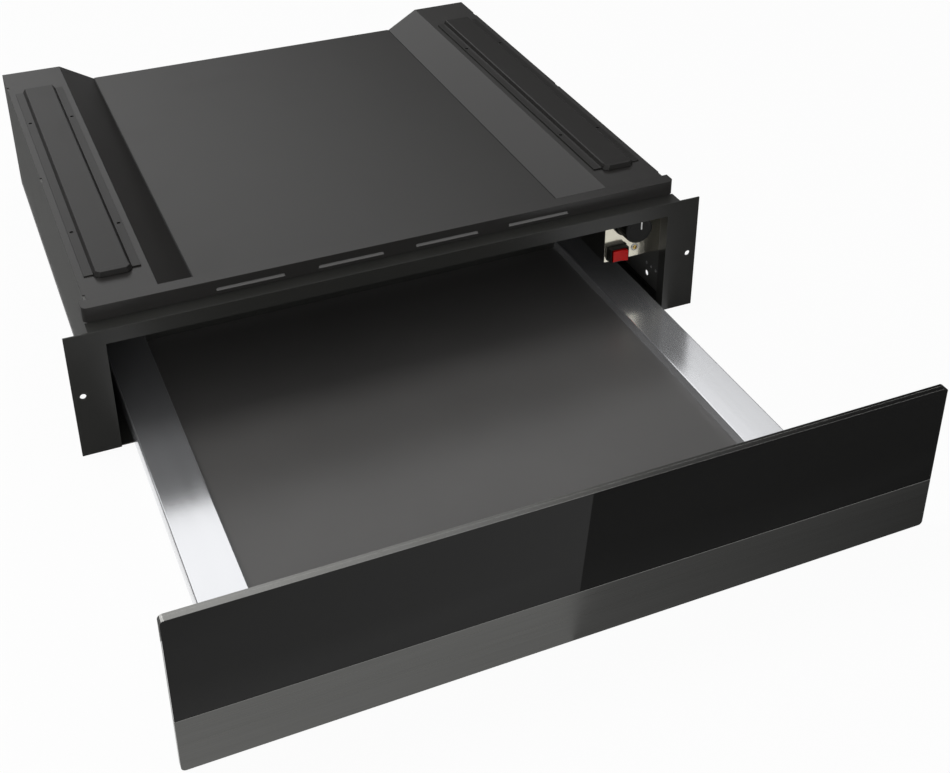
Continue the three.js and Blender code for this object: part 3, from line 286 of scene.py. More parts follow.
buildWorld(studioLook)
buildFloor(studioLook)
buildBoards(boardLook)
for lamp in ("key", "front"):
    place, size, power = (studioLook[lamp + part] for part in ("Place", "Size", "Power"))
    placeLamp(lamp + "Lamp", place, studioLook["keyAim"], size, power)
print("studio lit")

# shared surface effects


def newGroup(name, inputs, outputs, kind="ShaderNodeTree", result="Float"):
    # each input is a label, a socket type and a first value
    group = bpy.data.node_groups.new(name, kind)
    sockets = {}
    for label, sort, value in inputs:
        socket = group.interface.new_socket(name=label, in_out="INPUT", socket_type="NodeSocket" + sort)
        if value is not None:
            socket.default_value = value
        sockets[label] = socket.identifier
    for label in outputs:
        group.interface.new_socket(name=label, in_out="OUTPUT", socket_type="NodeSocket" + result)
    return group, sockets, addNode(group, "NodeGroupInput").outputs


def noise(tree, where, scale, detail, rough, **others):
    inputs = {"Vector": where, "Scale": scale, "Detail": detail, "Roughness": rough, **others}
    return addNode(tree, "ShaderNodeTexNoise", inputs).outputs["Fac"]


def buildPowderGrain():
    # fine orange peel of a baked coat, with a slow change of tone
    inputs = [("Vector", "Vector", None), ("Pebble Scale", "Float", 1300.0), ("Tone Scale", "Float", 9.0)]
    group, sockets, given = newGroup("powderGrain", inputs, ["Height", "Tone"])
    pebble = noise(group, given["Vector"], given["Pebble Scale"], 2.0, 0.55)
    tone = noise(group, given["Vector"], given["Tone Scale"], 4.0, 0.6)
    addNode(group, "NodeGroupOutput", {"Height": pebble, "Tone": tone})
    return group


def buildBrushLines():
    # scratches drawn out along one axis: the stretch is small along the brushing
    inputs = [("Vector", "Vector", None), ("Stretch", "Vector", (6.0, 900.0, 900.0))]
    group, sockets, given = newGroup("brushLines", inputs, ["Height", "Streak"])
    stretched = {0: given["Vector"], 1: given["Stretch"]}
    drawn = addNode(group, "ShaderNodeVectorMath", stretched, operation="MULTIPLY").outputs[0]
    fine = noise(group, drawn, 1.0, 4.0, 0.65)
    wide = noise(group, drawn, 0.17, 2.0, 0.5)
    addNode(group, "NodeGroupOutput", {"Height": fine, "Streak": wide})
    return group


def buildHandling():
    # soft uneven film from wiping and handling
    inputs = [("Vector", "Vector", None), ("Patch Scale", "Float", 14.0), ("Cover", "Float", 0.5)]
    group, sockets, given = newGroup("handling", inputs, ["Film"])
    patch = noise(group, given["Vector"], given["Patch Scale"], 5.0, 0.62, Distortion=0.6)
    bare = maths(group, "SUBTRACT", 1.0, given["Cover"])
    addNode(group, "NodeGroupOutput", {"Film": spread(group, patch, 0.0, 1.0, bare, 0.95)})
    return group


powderGrain = buildPowderGrain()
brushLines = buildBrushLines()
handling = buildHandling()

# finishes

shaderSockets = {
    "metal": "Metallic",
    "specular": "Specular IOR Level",
    "coat": "Coat Weight",
    "coatRough": "Coat Roughness",
    "grain": "Anisotropic",
}


def buildFinish(name, kind, look):
    material = bpy.data.materials.new(name)
    material.use_nodes = True
    tree = material.node_tree
    shader = tree.nodes["Principled BSDF"].inputs
    for key, socket in shaderSockets.items():
        if key in look:
            shader[socket].default_value = look[key]
    kind(tree, shader, addNode(tree, "ShaderNodeTexCoord").outputs["Object"], look)
    return material


def endFinish(tree, shader, colour, rough, height=None, peel=0.0, depth=0.0001):
    tree.links.new(colour, shader["Base Color"])
    tree.links.new(rough, shader["Roughness"])
    if height is not None:
        bump = addNode(tree, "ShaderNodeBump", {"Height": height, "Strength": peel, "Distance": depth})
        tree.links.new(bump.outputs["Normal"], shader["Normal"])


def grainOf(tree, where, look):
    inputs = {"Vector": where, "Pebble Scale": look["pebble"], "Tone Scale": look["toneScale"]}
    return addNode(tree, "ShaderNodeGroup", inputs, node_tree=powderGrain).outputs


def filmOf(tree, where, look):
    inputs = {"Vector": where, "Patch Scale": look["patch"], "Cover": look["film"]}
    return addNode(tree, "ShaderNodeGroup", inputs, node_tree=handling).outputs["Film"]


def mixedColour(tree, mask, low, high, **settings):
    return addNode(tree, "ShaderNodeMix", {0: mask, 6: low, 7: high}, data_type="RGBA", **settings).outputs[2]


def tinted(colour, share):
    return (*(min(1.0, part * share) for part in colour[:3]), 1.0)


def tonedColour(tree, mask, look):
    base, change = linear(*look["colour"]), look["toneSpread"]
    return mixedColour(tree, mask, tinted(base, 1 - change), tinted(base, 1 + change))


def roughAround(tree, mask, look, start=0.3, end=0.7):
    rough, change = look["rough"], look["roughSpread"]
    return spread(tree, mask, rough - change, rough + change, start, end)


def coatedFinish(tree, shader, where, look):
    grain, film = grainOf(tree, where, look), filmOf(tree, where, look)
    toned = tonedColour(tree, spread(tree, grain["Tone"], 0.0, 1.0), look)
    dust = maths(tree, "MULTIPLY", film, look["dust"])
    dusty = mixedColour(tree, dust, toned, linear(*look["dustColour"]))
    rough = maths(tree, "MULTIPLY_ADD", film, look["roughSpread"], look["rough"])
    endFinish(tree, shader, dusty, rough, grain["Height"], look["peel"], 0.0002)


def brushedFinish(tree, shader, where, look):
    stretched = {"Vector": where, "Stretch": look["stretch"]}
    lines = addNode(tree, "ShaderNodeGroup", stretched, node_tree=brushLines).outputs
    toned = tonedColour(tree, spread(tree, lines["Height"], 0.0, 1.0), look)
    streak = roughAround(tree, lines["Streak"], look)
    smear = maths(tree, "MULTIPLY_ADD", filmOf(tree, where, look), look["roughSpread"], streak)
    endFinish(tree, shader, toned, smear, lines["Height"], look["peel"])


def zincFinish(tree, shader, where, look):
    # plated steel: dull spangle with a faint yellow and blue drift
    spangle = addNode(tree, "ShaderNodeTexVoronoi", {"Vector": where, "Scale": look["spangle"]}, feature="F1")
    cells = addNode(tree, "ShaderNodeSeparateColor", {0: spangle.outputs["Color"]}).outputs
    drift = grainOf(tree, where, look)
    toned = tonedColour(tree, cells[0], look)
    tint = spread(tree, drift["Tone"], 0.0, 0.35)
    warm = mixedColour(tree, tint, toned, linear(*look["warm"]), blend_type="MULTIPLY")
    rough = roughAround(tree, cells[1], look, 0.0, 1.0)
    endFinish(tree, shader, warm, rough, drift["Height"], look["peel"])


def glassFinish(tree, shader, where, look):
    # black enamelled back seen through polished glass: wipe marks only in the gloss
    film = filmOf(tree, where, look)
    base = linear(*look["colour"])
    wiped = mixedColour(tree, film, base, tinted(base, look["wipeTone"]))
    rough = maths(tree, "MULTIPLY_ADD", film, look["roughSpread"], look["rough"])
    endFinish(tree, shader, wiped, rough)


def mouldedFinish(tree, shader, where, look):
    grain = grainOf(tree, where, look)
    toned = tonedColour(tree, spread(tree, grain["Tone"], 0.0, 1.0), look)
    endFinish(tree, shader, toned, roughAround(tree, grain["Tone"], look), grain["Height"], look["peel"])


def layeredFinish(tree, shader, where, look):
    # punched sheets pressed into a stack, seen as thin lines along the shaft
    inputs = {"Vector": where, "Scale": look["sheets"], "Distortion": 0.4, "Detail": 1.0}
    wave = addNode(tree, "ShaderNodeTexWave", inputs, wave_type="BANDS", bands_direction="Y").outputs["Fac"]
    grain = grainOf(tree, where, look)
    rough = roughAround(tree, grain["Tone"], look)
    endFinish(tree, shader, tonedColour(tree, wave, look), rough, wave, look["peel"], 0.0002)


# every finish starts from the usual values of its kind
finishLooks = {
    coatedFinish: {
        "usual": {
            "roughSpread": 0.08, "pebble": 1300.0, "peel": 0.1, "toneScale": 6.0, "toneSpread": 0.05,
            "patch": 12.0, "film": 0.48, "dust": 0.012, "dustColour": (150, 149, 146),
        },
        "cabinet_paint": {"colour": (40, 40, 38), "specular": 0.38, "rough": 0.3, "toneScale": 7.0, "toneSpread": 0.06},
        "cover_paint": {"colour": (40, 39, 38), "specular": 0.36, "rough": 0.28, "patch": 9.0},
        "railPaint": {"colour": (34, 33, 32), "specular": 0.24, "rough": 0.28, "patch": 9.0},
        # painted light: the cabinet paint made lighter for the side walls, which the lamps light from the side
        "wallPaintPaintedLight": {
            "colour": (84, 84, 82), "specular": 0.3, "rough": 0.34, "roughSpread": 0.06, "peel": 0.12,
            "toneScale": 7.0, "toneSpread": 0.06,
        },
        "tray_coat": {
            "colour": (90, 89, 88), "specular": 0.42, "rough": 0.3, "roughSpread": 0.07, "pebble": 1700.0,
            "peel": 0.08, "toneScale": 8.0, "patch": 14.0, "film": 0.46, "dust": 0.015,
        },
    },
    brushedFinish: {
        "usual": {"metal": 1.0, "grain": 0.2, "patch": 12.0, "film": 0.45},
        "stainless": {
            "colour": (232, 233, 236), "metal": 0.8, "rough": 0.17, "roughSpread": 0.008,
            "stretch": (1500.0, 10.0, 1500.0), "toneSpread": 0.008, "peel": 0.002,
        },
        "stainlessCross": {
            "colour": (226, 226, 226), "metal": 0.95, "rough": 0.24, "roughSpread": 0.03,
            "stretch": (10.0, 1500.0, 1500.0), "toneSpread": 0.02, "peel": 0.02,
        },
        "trim_steel": {
            "colour": (124, 124, 122), "rough": 0.3, "roughSpread": 0.04, "grain": 0.4,
            "stretch": (9.0, 1500.0, 1500.0), "toneSpread": 0.07, "peel": 0.05, "patch": 8.0,
        },
        "brightPlate": {
            "colour": (210, 206, 190), "metal": 0.88, "rough": 0.16, "roughSpread": 0.02, "grain": 0.1,
            "stretch": (10.0, 900.0, 900.0), "toneSpread": 0.015, "peel": 0.01, "patch": 20.0,
        },
    },
    glassFinish: {
        "usual": {"patch": 7.0, "film": 0.42, "wipeTone": 1.25},
        "front_glass": {"colour": (9, 9, 8), "specular": 0.4, "rough": 0.02, "roughSpread": 0.02},
    },
    zincFinish: {
        "usual": {
            "metal": 1.0, "rough": 0.3, "roughSpread": 0.06, "spangle": 900.0, "pebble": 900.0, "toneScale": 22.0,
            "toneSpread": 0.06, "peel": 0.06,
        },
        "zinc": {
            "colour": (176, 178, 180), "warm": (214, 204, 178), "rough": 0.38, "roughSpread": 0.08,
            "spangle": 260.0, "peel": 0.1,
        },
        "ball_steel": {
            "colour": (212, 213, 214), "warm": (222, 214, 196), "rough": 0.18, "roughSpread": 0.05,
            "spangle": 600.0, "toneScale": 60.0, "toneSpread": 0.04, "peel": 0.04,
        },
        "element_sheath": {
            "colour": (84, 80, 74), "warm": (150, 112, 84), "rough": 0.46, "roughSpread": 0.08,
            "toneScale": 45.0, "toneSpread": 0.12, "peel": 0.12,
        },
        "satinBack": {
            "colour": (182, 182, 180), "warm": (235, 233, 226), "rough": 0.12, "roughSpread": 0.01,
            "spangle": 500.0, "toneSpread": 0.015, "peel": 0.05,
        },
        # dark zinc: the back screws' own finish, and painted shade on the heater baffle deep inside the cabinet
        "blackZincAndPaintedShade": {
            "colour": (58, 58, 60), "warm": (190, 186, 190), "rough": 0.4, "toneScale": 70.0, "toneSpread": 0.08,
        },
        "brassPlate": {"colour": (201, 178, 118), "warm": (226, 196, 130), "toneScale": 90.0},
    },
    mouldedFinish: {
        "usual": {"roughSpread": 0.05, "pebble": 1500.0, "toneScale": 60.0, "toneSpread": 0.05, "peel": 0.05},
        "black_plastic": {
            "colour": (12, 12, 11), "specular": 0.2, "rough": 0.42, "roughSpread": 0.06, "pebble": 2600.0,
            "peel": 0.16, "toneSpread": 0.1,
        },
        "red_plastic": {
            "colour": (198, 12, 6), "specular": 0.12, "rough": 0.3, "pebble": 1800.0, "toneScale": 90.0,
            "toneSpread": 0.1, "coat": 0.1, "coatRough": 0.15,
        },
        "pale_plastic": {
            "colour": (214, 210, 198), "specular": 0.45, "rough": 0.46, "roughSpread": 0.06, "peel": 0.08,
            "toneScale": 40.0, "toneSpread": 0.03,
        },
        "brightRim": {"colour": (150, 150, 148), "specular": 0.5, "rough": 0.4},
        # painted shade: a near-black matt strip in place of the shadow in the gaps beside the centre panel
        "jointSeal": {
            "colour": (9, 9, 8), "specular": 0.08, "rough": 0.7, "peel": 0.1, "toneScale": 40.0, "toneSpread": 0.1,
        },
        "whiteInk": {
            "colour": (236, 236, 233), "specular": 0.4, "rough": 0.5, "roughSpread": 0.04, "pebble": 2200.0,
            "toneScale": 120.0, "toneSpread": 0.03,
        },
    },
    layeredFinish: {
        "usual": {"metal": 1.0, "roughSpread": 0.08, "pebble": 700.0, "toneScale": 30.0},
        "motor_steel": {"colour": (120, 121, 123), "rough": 0.46, "sheets": 160.0, "toneSpread": 0.28, "peel": 0.5},
    },
}


def buildFinishes(looks):
    made = {}
    for kind, family in looks.items():
        for name, look in family.items():
            if name != "usual":
                made[name] = buildFinish(name + "Finish", kind, {**family["usual"], **look})
    return made


finishes = buildFinishes(finishLooks)
print("finishes made:", len(finishes))

# soft edges for the CAD nodes

edgeLook = {"usual": 0.35, "angle": 38.0, "segments": 2, "flat": 0.5, "sharp": 32.0, "weld": 0.00001}
edgeWidths = {
    "top_front_header": 0.9, "fixing_frame": 0.2, "front_glass": 0.45, "front_trim_strip": 0.3,
    "front_backing": 0.4, "thermostat_knob": 0.4, "switch_rocker": 0.5, "switch_body": 0.5,
    "heater_baffle": 0.0, "heating_element": 0.0, "fan_wheel": 0.0, "wiring_harness": 0.0,
    "thermostat_capillary": 0.0, "ball_cage_outer_left": 0.0, "ball_cage_outer_right": 0.0,
    "ball_cage_inner_left": 0.0, "ball_cage_inner_right": 0.0,
}
otherFinishes = {
    # tray_back_rail: the dark cabinet paint is painted shade deep inside the cabinet
    "tray_back_rail": "cabinet_paint", "tray_front_rail": "stainlessCross", "control_plate": "brightPlate",
    # heater_baffle: the dark zinc is painted shade deep inside the cabinet
    "heater_baffle": "blackZincAndPaintedShade", "front_backing": "satinBack", "side_wall_left": "wallPaintPaintedLight",
    "side_wall_right": "wallPaintPaintedLight",
}


def shapeGroup(name, inputs):
    return newGroup(name, inputs, ["Geometry"], "GeometryNodeTree", "Geometry")


def buildSmoothLook():
    tree, sockets, given = shapeGroup("smoothLook", [("Geometry", "Geometry", None), ("Sharp Angle", "Float", 0.6)])
    whole = {"Geometry": given["Geometry"], "Shade Smooth": True}
    faces = addNode(tree, "GeometryNodeSetShadeSmooth", whole, domain="FACE").outputs["Geometry"]
    angles = {0: addNode(tree, "GeometryNodeInputMeshEdgeAngle").outputs["Unsigned Angle"], 1: given["Sharp Angle"]}
    sharp = addNode(tree, "FunctionNodeCompare", angles, data_type="FLOAT", operation="GREATER_THAN")
    creased = {"Geometry": faces, "Selection": sharp.outputs[0], "Shade Smooth": False}
    edges = addNode(tree, "GeometryNodeSetShadeSmooth", creased, domain="EDGE")
    addNode(tree, "NodeGroupOutput", {"Geometry": edges.outputs["Geometry"]})
    return tree, sockets["Sharp Angle"]


smoothLook, sharpAngleInput = buildSmoothLook()


def softEdges(piece, width, segments, angle):
    soft = piece.modifiers.new("softEdges", "BEVEL")
    soft.width = width * mm
    soft.segments = segments
    soft.limit_method = "ANGLE"
    soft.angle_limit = math.radians(angle)


def evenShading(piece):
    even = piece.modifiers.new("evenShading", "WEIGHTED_NORMAL")
    even.keep_sharp = True
    even.weight = 100


def finishNode(name, node, look, widths):
    for place in node.material_slots:
        place.material = finishes[otherFinishes.get(name, place.material.name.split(".")[0])]
    weld = node.modifiers.new("joinFacets", "WELD")
    weld.merge_threshold = look["weld"]
    width = widths.get(name, look["usual"])
    if width > 0:
        flat = node.modifiers.new("flatFaces", "DECIMATE")
        flat.decimate_type = "DISSOLVE"
        flat.angle_limit = math.radians(look["flat"])
        softEdges(node, width, look["segments"], look["angle"])
    smooth = node.modifiers.new("smoothLook", "NODES")
    smooth.node_group = smoothLook
    smooth[sharpAngleInput] = math.radians(look["sharp"])
    evenShading(node)


for nodeName, node in cadNodes.items():
    finishNode(nodeName, node, edgeLook, edgeWidths)
print("CAD nodes finished:", len(cadNodes))

# shapes in millimetres, each as points and faces


def shiftedPath(path, distance):
    points = [Vector((x, z, 0.0)) for x, z in path]
    moved = []
    for i, point in enumerate(points):
        ways = []
        if i > 0:
            ways.append((point - points[i - 1]).normalized())
        if i < len(points) - 1:
            ways.append((points[i + 1] - point).normalized())
        normals = [Vector((-way.y, way.x, 0.0)) for way in ways]
        middle = sum(normals, Vector()).normalized()
        moved.append(point + middle * distance / middle.dot(normals[0]))
    return moved


def curvedCorners(points, radius, steps):
    rounded = [points[0]]
    for before, corner, after in zip(points, points[1:], points[2:]):
        back, ahead = (before - corner).normalized(), (after - corner).normalized()
        half = back.angle(ahead) / 2
        reach = radius / math.tan(half)
        centre = corner + (back + ahead).normalized() * radius / math.sin(half)
        start, end = corner + back * reach - centre, corner + ahead * reach - centre
        rounded += [centre + start.slerp(end, k / steps) for k in range(steps + 1)]
    return rounded + [points[-1]]


def bentSheet(path, look):
    # the path is the outer face of the sheet and the metal lies on its left
    thickness = look["thickness"]
    middle = curvedCorners(shiftedPath(path, thickness / 2), look["bend"], look["bendSteps"])
    left, right = [], []
    for i, point in enumerate(middle):
        way = (middle[min(i + 1, len(middle) - 1)] - middle[max(i - 1, 0)]).normalized()
        normal = Vector((-way.y, way.x, 0.0)) * thickness / 2
        left.append(point + normal)
        right.append(point - normal)
    ring = left + right[::-1]
    count = len(ring)
    points = [(p.x, y, p.y) for y in (look["front"], look["back"]) for p in ring]
    faces = sideFaces(count)
    for i in range(len(left) - 1):
        faces.append((i + 1, i, count - 1 - i, count - 2 - i))
        faces.append((count + i, count + i + 1, 2 * count - 2 - i, 2 * count - 1 - i))
    return points, faces


def sideFaces(count):
    return [(i, (i + 1) % count, count + (i + 1) % count, count + i) for i in range(count)]


def slabShape(outline, low, high, axis="y"):
    # the outline is drawn across the axis and closed at both ends
    if axis == "y":
        points = [(u, level, v) for level in (low, high) for u, v in outline]
    else:
        points = [(u, v, level) for level in (low, high) for u, v in outline]
    count = len(outline)
    return points, sideFaces(count) + [tuple(range(count))[::-1], tuple(range(count, 2 * count))]


def boxShape(low, high):
    points = [(x, y, z) for x in (low[0], high[0]) for y in (low[1], high[1]) for z in (low[2], high[2])]
    faces = [(0, 1, 3, 2), (4, 6, 7, 5), (0, 4, 5, 1), (2, 3, 7, 6), (0, 2, 6, 4), (1, 5, 7, 3)]
    return points, faces


def rodShape(x, y, radius, low, high, sides):
    turns = [2 * math.pi * i / sides for i in range(sides)]
    ring = [(x + radius * math.cos(turn), y + radius * math.sin(turn)) for turn in turns]
    return slabShape(ring, low, high, "z")


def cornerArc(x, z, radius, start, steps):
    # a quarter turn from the start angle in degrees
    turns = [math.radians(start + 90 * k / steps) for k in range(steps + 1)]
    return [(x + radius * math.cos(turn), z + radius * math.sin(turn)) for turn in turns]


def lowCorners(left, right, level, radius, steps):
    first = cornerArc(left + radius, level + radius, radius, 180, steps)
    return first + cornerArc(right - radius, level + radius, radius, 270, steps)


def highCorners(left, right, level, radius, steps):
    first = cornerArc(right - radius, level - radius, radius, 0, steps)
    return first + cornerArc(left + radius, level - radius, radius, 90, steps)


def togetherShape(*shapes):
    points, faces = [], []
    for some, theirs in shapes:
        start = len(points)
        points += some
        faces += [tuple(start + i for i in face) for face in theirs]
    return points, faces


def mirroredShape(shape, side):
    points, faces = shape
    return [(x * side, y, z) for x, y, z in points], faces


# pieces from shapes


def newPiece(name, points, faces, finish):
    mesh = pointMesh(name, [tuple(value * mm for value in point) for point in points], faces)
    mesh.validate()
    mesh.materials.append(finishes[finish])
    return placed(name, mesh)


def outwardNormals(mesh):
    work = bmesh.new()
    work.from_mesh(mesh)
    bmesh.ops.remove_doubles(work, verts=work.verts, dist=1e-7)
    bmesh.ops.recalc_face_normals(work, faces=work.faces)
    work.to_mesh(mesh)
    work.free()


def keepResult(piece):
    graph = bpy.context.evaluated_depsgraph_get()
    mesh = bpy.data.meshes.new_from_object(piece.evaluated_get(graph))
    piece.modifiers.clear()
    piece.data = mesh


def settlePiece(piece, edge=0.2, angle=50.0, segments=2, cutters=(), sharp=32.0):
    # cuts, softens and then keeps the result as a plain smooth mesh
    outwardNormals(piece.data)
    for number, cutter in enumerate(cutters):
        outwardNormals(cutter.data)
        cut = piece.modifiers.new("cut%d" % number, "BOOLEAN")
        cut.operation = "DIFFERENCE"
        cut.solver = "EXACT"
        cut.object = cutter
    if edge:
        softEdges(piece, edge, segments, angle)
    keepResult(piece)
    piece.data.shade_smooth()
    piece.data.set_sharp_from_angle(angle=math.radians(sharp))
    evenShading(piece)
    keepResult(piece)
    for cutter in cutters:
        bpy.data.objects.remove(cutter)
    return piece


def settledPiece(name, shape, finish, edge, **soft):
    return settlePiece(newPiece(name, *shape, finish), edge, **soft)


def joinPieces(piece, *others):
    both = [piece, *others]
    chosen = {"active_object": piece, "object": piece, "selected_objects": both, "selected_editable_objects": both}
    with bpy.context.temp_override(**chosen):
        bpy.ops.object.join()


# bent sheets

traySideLook = {
    "wallX": 215.5, "lipX": 200.5, "edgeX": 254.0, "lipZ": 8.2, "flangeZ": 18.1, "skirtZ": 2.2,
    "thickness": 1.0, "bend": 1.5, "bendSteps": 6, "front": -614.1, "back": -126.1, "edge": 0.18,
}


def buildTraySide(look, side, label):
    path = [
        (look["lipX"], look["lipZ"]), (look["wallX"], look["lipZ"]), (look["wallX"], look["flangeZ"]),
        (look["edgeX"], look["flangeZ"]), (look["edgeX"], look["skirtZ"]),
    ]
    sheet = mirroredShape(bentSheet(path, look), side)
    piece = settledPiece("traySideSheet" + label, sheet, "stainless", look["edge"])
    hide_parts("tray_side_" + label.lower())
    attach(piece, "drawer")


shoulderLook = {
    "edgeX": 274.5, "plateauX": 212.7, "slopeX": 177.9, "lipX": 165.9, "topZ": 135.0, "lowZ": 113.4,
    "thickness": 1.0, "bend": 1.4, "bendSteps": 5, "front": -234.1, "back": 263.5, "edge": 0.22,
    "notchLength": 9.0, "notchDepth": 2.0, "notchDrop": 3.0, "notchOver": 2.0, "notches": (-230.5, -4.5, 221.5),
}


def buildShoulder(look, side, label):
    edge, top, over = look["edgeX"], look["topZ"], look["notchOver"]
    path = [(edge, top), (look["plateauX"], top), (look["slopeX"], look["lowZ"]), (look["lipX"], look["lowZ"])]
    sheet = mirroredShape(bentSheet(path, look), side)
    half = look["notchLength"] / 2
    cuts = []
    for y in look["notches"]:
        low = (edge - look["notchDepth"], y - half, top - look["notchDrop"])
        cuts.append(boxShape(low, (edge + over, y + half, top + over)))
    cutter = newPiece("notchTool", *mirroredShape(togetherShape(*cuts), side), "zinc")
    piece = settledPiece("shoulderSheet" + label, sheet, "cover_paint", look["edge"], cutters=[cutter])
    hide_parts("top_shoulder_" + label.lower())
    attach(piece, "cabinet")


railLook = {
    "centreX": 243.6, "edge": 24.5, "foot": 16.1, "crown": 14.5, "lowZ": 135.0, "height": 5.2,
    "thickness": 1.0, "bend": 1.1, "bendSteps": 5, "footEase": 0.5, "front": -198.2, "back": 203.8,
    "nose": 6.5, "noseLap": 1.0, "noseFoot": 0.4, "noseStep": 4.0, "noseNarrow": 4.2, "crownNarrow": 3.4,
    "crownBack": 0.6, "noseEdge": 0.3, "hole": 1.7, "holeX": 21.0, "holesY": (-118.3, 124.0), "holeSides": 16,
    "holeSpan": (132.0, 139.0), "sheetEdge": 0.16,
}


def noseShape(look):
    # the nose closes the hat and narrows towards the front
    x, low, top = look["centreX"], look["lowZ"], look["lowZ"] + look["height"]
    front, back = look["front"] - look["nose"], look["front"] + look["noseLap"]
    crown, foot = look["crown"], look["foot"] + look["noseFoot"]
    shortFoot, shortCrown = foot - look["noseNarrow"], crown - look["crownNarrow"]
    tip, step = front + look["crownBack"], front + look["noseStep"]
    points = [
        (x - foot, back, low), (x + foot, back, low), (x + crown, back, top), (x - crown, back, top),
        (x - shortFoot, front, low), (x + shortFoot, front, low),
        (x + shortCrown, tip, top), (x - shortCrown, tip, top),
        (x - foot, step, low), (x + foot, step, low), (x + crown, step, top), (x - crown, step, top),
    ]
    faces = [
        (0, 1, 2, 3), (4, 7, 6, 5), (4, 8, 11, 7), (5, 6, 10, 9),
        (8, 0, 3, 11), (9, 10, 2, 1), (3, 2, 10, 6, 7, 11), (0, 8, 4, 5, 9, 1),
    ]
    return points, faces


def buildRail(look, side, label):
    x, low, top = look["centreX"], look["lowZ"], look["lowZ"] + look["height"]
    flange, foot = low + look["thickness"], look["foot"] + look["footEase"]
    hat = [(look["edge"], flange), (foot, flange), (look["crown"], top)]
    path = [(x + reach, z) for reach, z in hat] + [(x - reach, z) for reach, z in hat[::-1]]
    sheet = mirroredShape(bentSheet(path, look), side)
    nose = settledPiece("railNose", mirroredShape(noseShape(look), side), "railPaint", look["noseEdge"], angle=25.0)
    holes = []
    for reach in (-look["holeX"], look["holeX"]):
        for y in look["holesY"]:
            holes.append(rodShape(side * (x + reach), y, look["hole"], *look["holeSpan"], look["holeSides"]))
    tool = newPiece("railHoleTool", *togetherShape(*holes), "zinc")
    piece = settledPiece("hatRail" + label, sheet, "railPaint", look["sheetEdge"], cutters=[tool])
    joinPieces(piece, nose)
    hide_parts("top_rail_" + label.lower())
    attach(piece, "cabinet")


for side, label in ((-1, "Left"), (1, "Right")):
    buildTraySide(traySideLook, side, label)
    buildShoulder(shoulderLook, side, label)
    buildRail(railLook, side, label)
print("sheets bent")

# front: glass, strip and the backing whose lip turns over the glass

frontLook = {
    "halfWidth": 298.5, "face": -622.1, "pane": 4.0, "back": -615.6, "low": 3.8, "join": 49.9, "gap": 0.4,
    "paneTop": 137.8, "top": 138.1, "corner": 3.4, "steps": 8, "paneInset": 0.15, "paneClear": 0.05,
    "paneEdge": 0.15, "stripEdge": 0.3, "lipEdge": 0.05, "backEdge": 0.12, "soft": {"angle": 40.0, "sharp": 28.0},
}


def buildFront(look):
    x, radius, steps, inset = look["halfWidth"], look["corner"], look["steps"], look["paneInset"]
    face, behind, back = look["face"], look["face"] + look["pane"], look["back"]
    inner = radius - (look["top"] - look["paneTop"])
    low = lowCorners(-x, x, look["low"], radius, steps)
    high = highCorners(-x, x, look["top"], radius, steps)
    pane = highCorners(-x + inset, x - inset, look["paneTop"], inner, steps)
    seam = look["join"] + look["gap"]
    parts = {
        "frontPane": ([(-x + inset, seam), (x - inset, seam)] + pane, "front_glass", "front_glass", look["paneEdge"]),
        "frontStrip": (
            low + [(x, look["join"]), (-x, look["join"])], "trim_steel", "front_trim_strip", look["stripEdge"]),
    }
    for name, (outline, finish, node, edge) in parts.items():
        slab = slabShape(outline, face, behind - look["paneClear"])
        piece = settledPiece(name, slab, finish, edge, segments=3, **look["soft"])
        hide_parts(node)
        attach(piece, "drawer")
    lip = slabShape(high + pane[::-1], face, behind)
    lip = settledPiece("frontLip", lip, "satinBack", look["lipEdge"], **look["soft"])
    sheet = slabShape(low + high, behind, back)
    piece = settledPiece("frontBack", sheet, "satinBack", look["backEdge"], **look["soft"])
    joinPieces(piece, lip)
    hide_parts("front_backing")
    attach(piece, "drawer")


buildFront(frontLook)
print("front made")

# knob: each ring is a step back, a radius beside the body's and a share of the grip depth

knobLook = {
    "x": 236.4, "z": 97.3, "face": -260.7, "back": -238.7, "skirt": 16.6, "skirtDepth": 2.6, "body": 14.9,
    "grips": 24, "gripDepth": 0.5, "gripProfile": (1.0, 0.45, 0.0, 0.45),
    "faceRings": (
        (0.5, -4.4, 0.0), (0.3, -3.4, 0.0), (0.0, -2.9, 0.0), (0.0, -1.6, 0.0), (0.35, -0.8, 0.4), (1.1, -0.35, 1.0),
    ),
    "waistRings": ((-1.2, 0.0, 1.0), (-0.4, 0.2, 0.0), (0.0, 0.6, 0.0)),
    "skirtRings": ((0.1, -0.5, 0.0), (0.5, 0.0, 0.0)),
    "lineX": 238.9, "lineLow": 97.2, "lineHigh": 107.6, "lineWidth": 1.3, "lineProud": 0.15, "lineSunk": 0.6,
    "lineEdge": 0.05,
}


def turnedShape(x, z, rings, sides, profile):
    # rings are (y, radius, grip depth) from front to back, closed by a centre point at both ends
    points, faces = [(x, rings[0][0], z)], []
    for y, radius, depth in rings:
        for i in range(sides):
            angle = 2 * math.pi * i / sides
            reach = radius - depth * profile[i % len(profile)]
            points.append((x + reach * math.cos(angle), y, z + reach * math.sin(angle)))
    points.append((x, rings[-1][0], z))
    last = len(points) - 1
    for i in range(sides):
        j = (i + 1) % sides
        faces.append((0, 1 + i, 1 + j))
        for r in range(len(rings) - 1):
            a = 1 + r * sides
            faces.append((a + i, a + sides + i, a + sides + j, a + j))
        a = 1 + (len(rings) - 1) * sides
        faces.append((last, a + j, a + i))
    return points, faces


